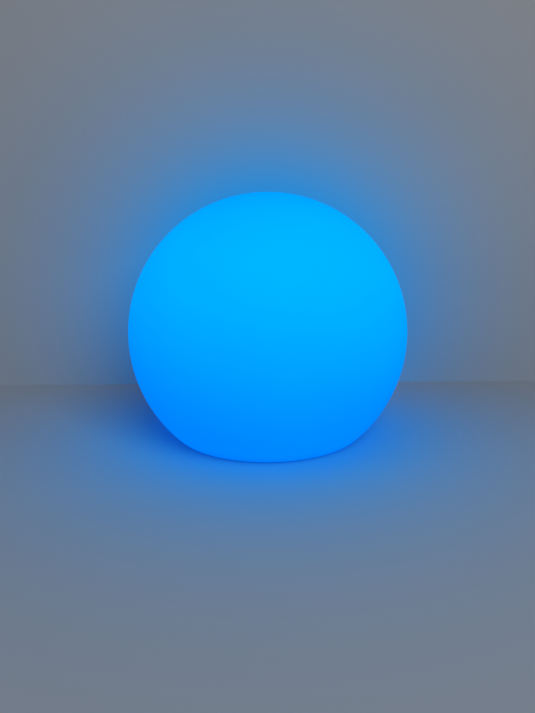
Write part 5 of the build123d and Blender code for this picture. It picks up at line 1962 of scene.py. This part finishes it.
@dataclass
class PushButton(Assembly):
    """The silicone power button with its seal, clip and the switch's plunger."""

    body: Body = Body.BUTTON
    y: float = middle_of("tact_switch").y
    face: float = foot_of("power_button")
    dish_depth: float = 0.25 * MM
    dish_radius: float = 25.25 * MM
    symbol_radius: float = 1.75 * MM
    symbol_line: float = 0.4 * MM
    ring_start: float = 125.0
    ring_sweep: float = 290.0
    bar_length: float = 2.0 * MM
    bar_y: float = 1.5 * MM
    sunk: float = 0.1 * MM
    proud: float = 0.14 * MM

    def power_symbol(self) -> Form:
        """A broken ring and a bar, raised from the button's dish."""
        half = self.symbol_line / 2
        line = (self.symbol_radius - half, self.symbol_radius + half)
        ring = band(line, (0.0, 1.0), self.ring_start, self.ring_sweep, 40)
        bar = block((self.symbol_line, self.bar_length, 1.0), (0.0, self.bar_y, 0.5))
        symbol = joined(ring, bar)
        centre = self.face + self.dish_depth - self.dish_radius
        for vert in symbol.verts:
            surface = centre + math.sqrt(self.dish_radius**2 - vert.co.x**2 - vert.co.y**2)
            vert.co.z = surface + (self.sunk if vert.co.z > 0.5 else -self.proud)
        return moved(symbol, shift(y=self.y))

    def build(self) -> None:
        """Add the symbol, and dress the button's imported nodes."""
        self.add("power_symbol", self.power_symbol(), Slot.WHITE_PLASTIC, "white_silicone")
        self.dress_nodes(
            {
                "power_button": "grey_silicone",
                "button_seal": "black_silicone",
                "button_clip": "plated_steel",
                "switch_plunger": "white_moulding",
            }
        )


@dataclass
class ChargeBung(Assembly):
    """The silicone bung that folds off the charging socket."""

    body: Body = Body.BUNG
    y: float = middle_of("charge_socket").y
    bead_circle: float = 5.8 * MM
    bead_radius: float = 0.25 * MM
    bar_size: Triple = (0.5 * MM, 5 * MM, 0.5 * MM)
    bar_round: float = 0.12 * MM
    bar_places: Triple = (-3.4 * MM, -2 * MM, -0.6 * MM)

    def grip_marks(self) -> Form:
        """A bead round the bung and three bars for a fingernail."""
        bead = spun(arc((self.bead_circle, UNDERSIDE), self.bead_radius, 0.0, 360.0, 10)[:-1], 64)
        bar = block(self.bar_size, (0.0, 0.0, UNDERSIDE), self.bar_round)
        return moved(joined(bead, repeated(bar, [shift(x) for x in self.bar_places])), shift(y=self.y))

    def build(self) -> None:
        """Add the grip marks, and dress the bung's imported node."""
        self.add("bung_grip", self.grip_marks(), Slot.SOFT_SILICONE, "grey_silicone")
        self.dress_nodes({"charge_bung": "grey_silicone"})


# ---------------------------------------------------------------- studio
@dataclass(frozen=True)
class SoftLamp:
    """One square soft lamp that points at the ball."""

    name: str
    place: Triple
    side: float
    power: float
    colour: Colour

    def build(self, aim: Vector) -> None:
        """Hang the lamp and turn it.

        Args:
            aim: The place that it shines at.
        """
        light = bpy.data.lights.new(self.name, "AREA")
        light.size = self.side
        light.energy = self.power
        light.color = self.colour
        lamp = bpy.data.objects.new(self.name, light)
        lamp.location = self.place
        lamp.rotation_euler = (aim - Vector(self.place)).to_track_quat("-Z", "Y").to_euler()
        lamp.visible_camera = False
        bpy.context.scene.collection.objects.link(lamp)


@dataclass
class Studio:
    """Floor, backdrop, lamps, world and camera."""

    palette: Palette
    wall_place: float = 0.128
    stage_half: float = 3.0
    floor_opening: float = 52 * MM
    aim: Triple = (0.0, 0.0, 0.07)
    glow_power: float = 2.5
    glow_colour: Colour = (0.0, 0.42, 1.0)
    glow_radius: float = 98 * MM
    world_level: float = 0.34
    world_colour: Colour = (0.96, 0.98, 1.0)
    camera_place: Triple = (0.0, -0.4005, 0.1446)
    pitch_down: float = 12.53
    pan: float = 0.042
    roll: float = -0.51
    lens_pixels: float = 550.0
    long_side_pixels: float = 713.0
    sensor: float = 36.0
    nearest: float = 10 * MM

    def build_stage(self) -> list[bpy.types.Object]:
        """Lay the floor and stand the backdrop behind the ball.

        The floor is open under the lamp module, where the ball hides it, so that light reaches
        the underside in views from below.

        Returns:
            The floor and the backdrop.
        """
        ground = spun([(self.floor_opening, 0.0), (self.stage_half, 0.0)], 96, closed=False)
        upright = bmesh.new()
        bmesh.ops.create_grid(upright, x_segments=1, y_segments=1, size=self.stage_half)
        moved(upright, turned(90.0, "X"), shift(y=self.wall_place, z=self.stage_half))
        stage = []
        for name, form, finish, facing in (
            ("floor", ground, "studio_floor", Vector((0, 0, 1))),
            ("backdrop", upright, "studio_wall", Vector((0, -1, 0))),
        ):
            piece = new_piece(name, form)
            if piece.data.polygons[0].normal.dot(facing) < 0:
                piece.data.flip_normals()
            self.palette.dress(piece, finish)
            stage.append(piece)
        return stage

    def build_lamps(self) -> None:
        """Hang the soft lamps and light the world."""
        for lamp in (
            SoftLamp("key_lamp", (0.5, -1.15, 1.0), 1.0, 20.0, (1.0, 0.99, 0.97)),
            SoftLamp("fill_lamp", (-1.2, -0.8, 0.8), 1.2, 5.0, (0.95, 0.98, 1.0)),
        ):
            lamp.build(Vector(self.aim))
        world = bpy.data.worlds.new("studio_world")
        world.use_nodes = True
        background = {"Color": self.world_colour, "Strength": self.world_level}
        Bench(world.node_tree).fill(world.node_tree.nodes["Background"], background)
        bpy.context.scene.world = world

    def build_glow(self, stage: list[bpy.types.Object]) -> None:
        """Set the glow that the ball throws on the stage, and on nothing else.

        Args:
            stage: The floor and the backdrop.
        """
        light = bpy.data.lights.new("ball_glow", "POINT")
        light.energy = self.glow_power
        light.color = self.glow_colour
        light.shadow_soft_size = self.glow_radius
        glow = bpy.data.objects.new("ball_glow", light)
        glow.location = BALL_MIDDLE
        glow.visible_camera = False
        bpy.context.scene.collection.objects.link(glow)
        receivers = bpy.data.collections.new("glow_receivers")
        for piece in stage:
            receivers.objects.link(piece)
        glow.light_linking.receiver_collection = receivers
        glow.light_linking.blocker_collection = receivers

    def build_camera(self) -> None:
        """Stand the camera at the photograph's viewing angle."""
        view = bpy.data.cameras.new("camera")
        view.sensor_width = self.sensor
        view.lens = self.lens_pixels / self.long_side_pixels * self.sensor
        view.clip_start = self.nearest
        camera = bpy.data.objects.new("camera", view)
        turn = turned(self.pan) @ turned(90.0 - self.pitch_down, "X") @ turned(self.roll)
        camera.matrix_world = shift(*self.camera_place) @ turn
        bpy.context.scene.collection.objects.link(camera)
        bpy.context.scene.camera = camera

    def build(self) -> None:
        """Set up the whole studio."""
        stage = self.build_stage()
        self.build_lamps()
        self.build_glow(stage)
        self.build_camera()
        bpy.context.scene.view_settings.view_transform = "Standard"


ASSEMBLIES = (
    Globe,
    ModuleBase,
    ModuleUnderside,
    DriverChip,
    Choke,
    Capacitor,
    SwitchCover,
    ControlBoard,
    Leads,
    BatteryBay,
    LedPlate,
    Lens,
    PushButton,
    ChargeBung,
)


def main() -> None:
    """Build the studio and the light's sub-assemblies, and report their pieces."""
    logging.basicConfig(level=logging.INFO, format="%(name)s: %(message)s")
    palette = Palette()
    Studio(palette).build()
    for kind in ASSEMBLIES:
        assembly = kind(palette)
        assembly.build()
        for piece in assembly.pieces:
            LOG.info("%s built %s", kind.__name__, piece.name)


if __name__ == "__main__":
    main()
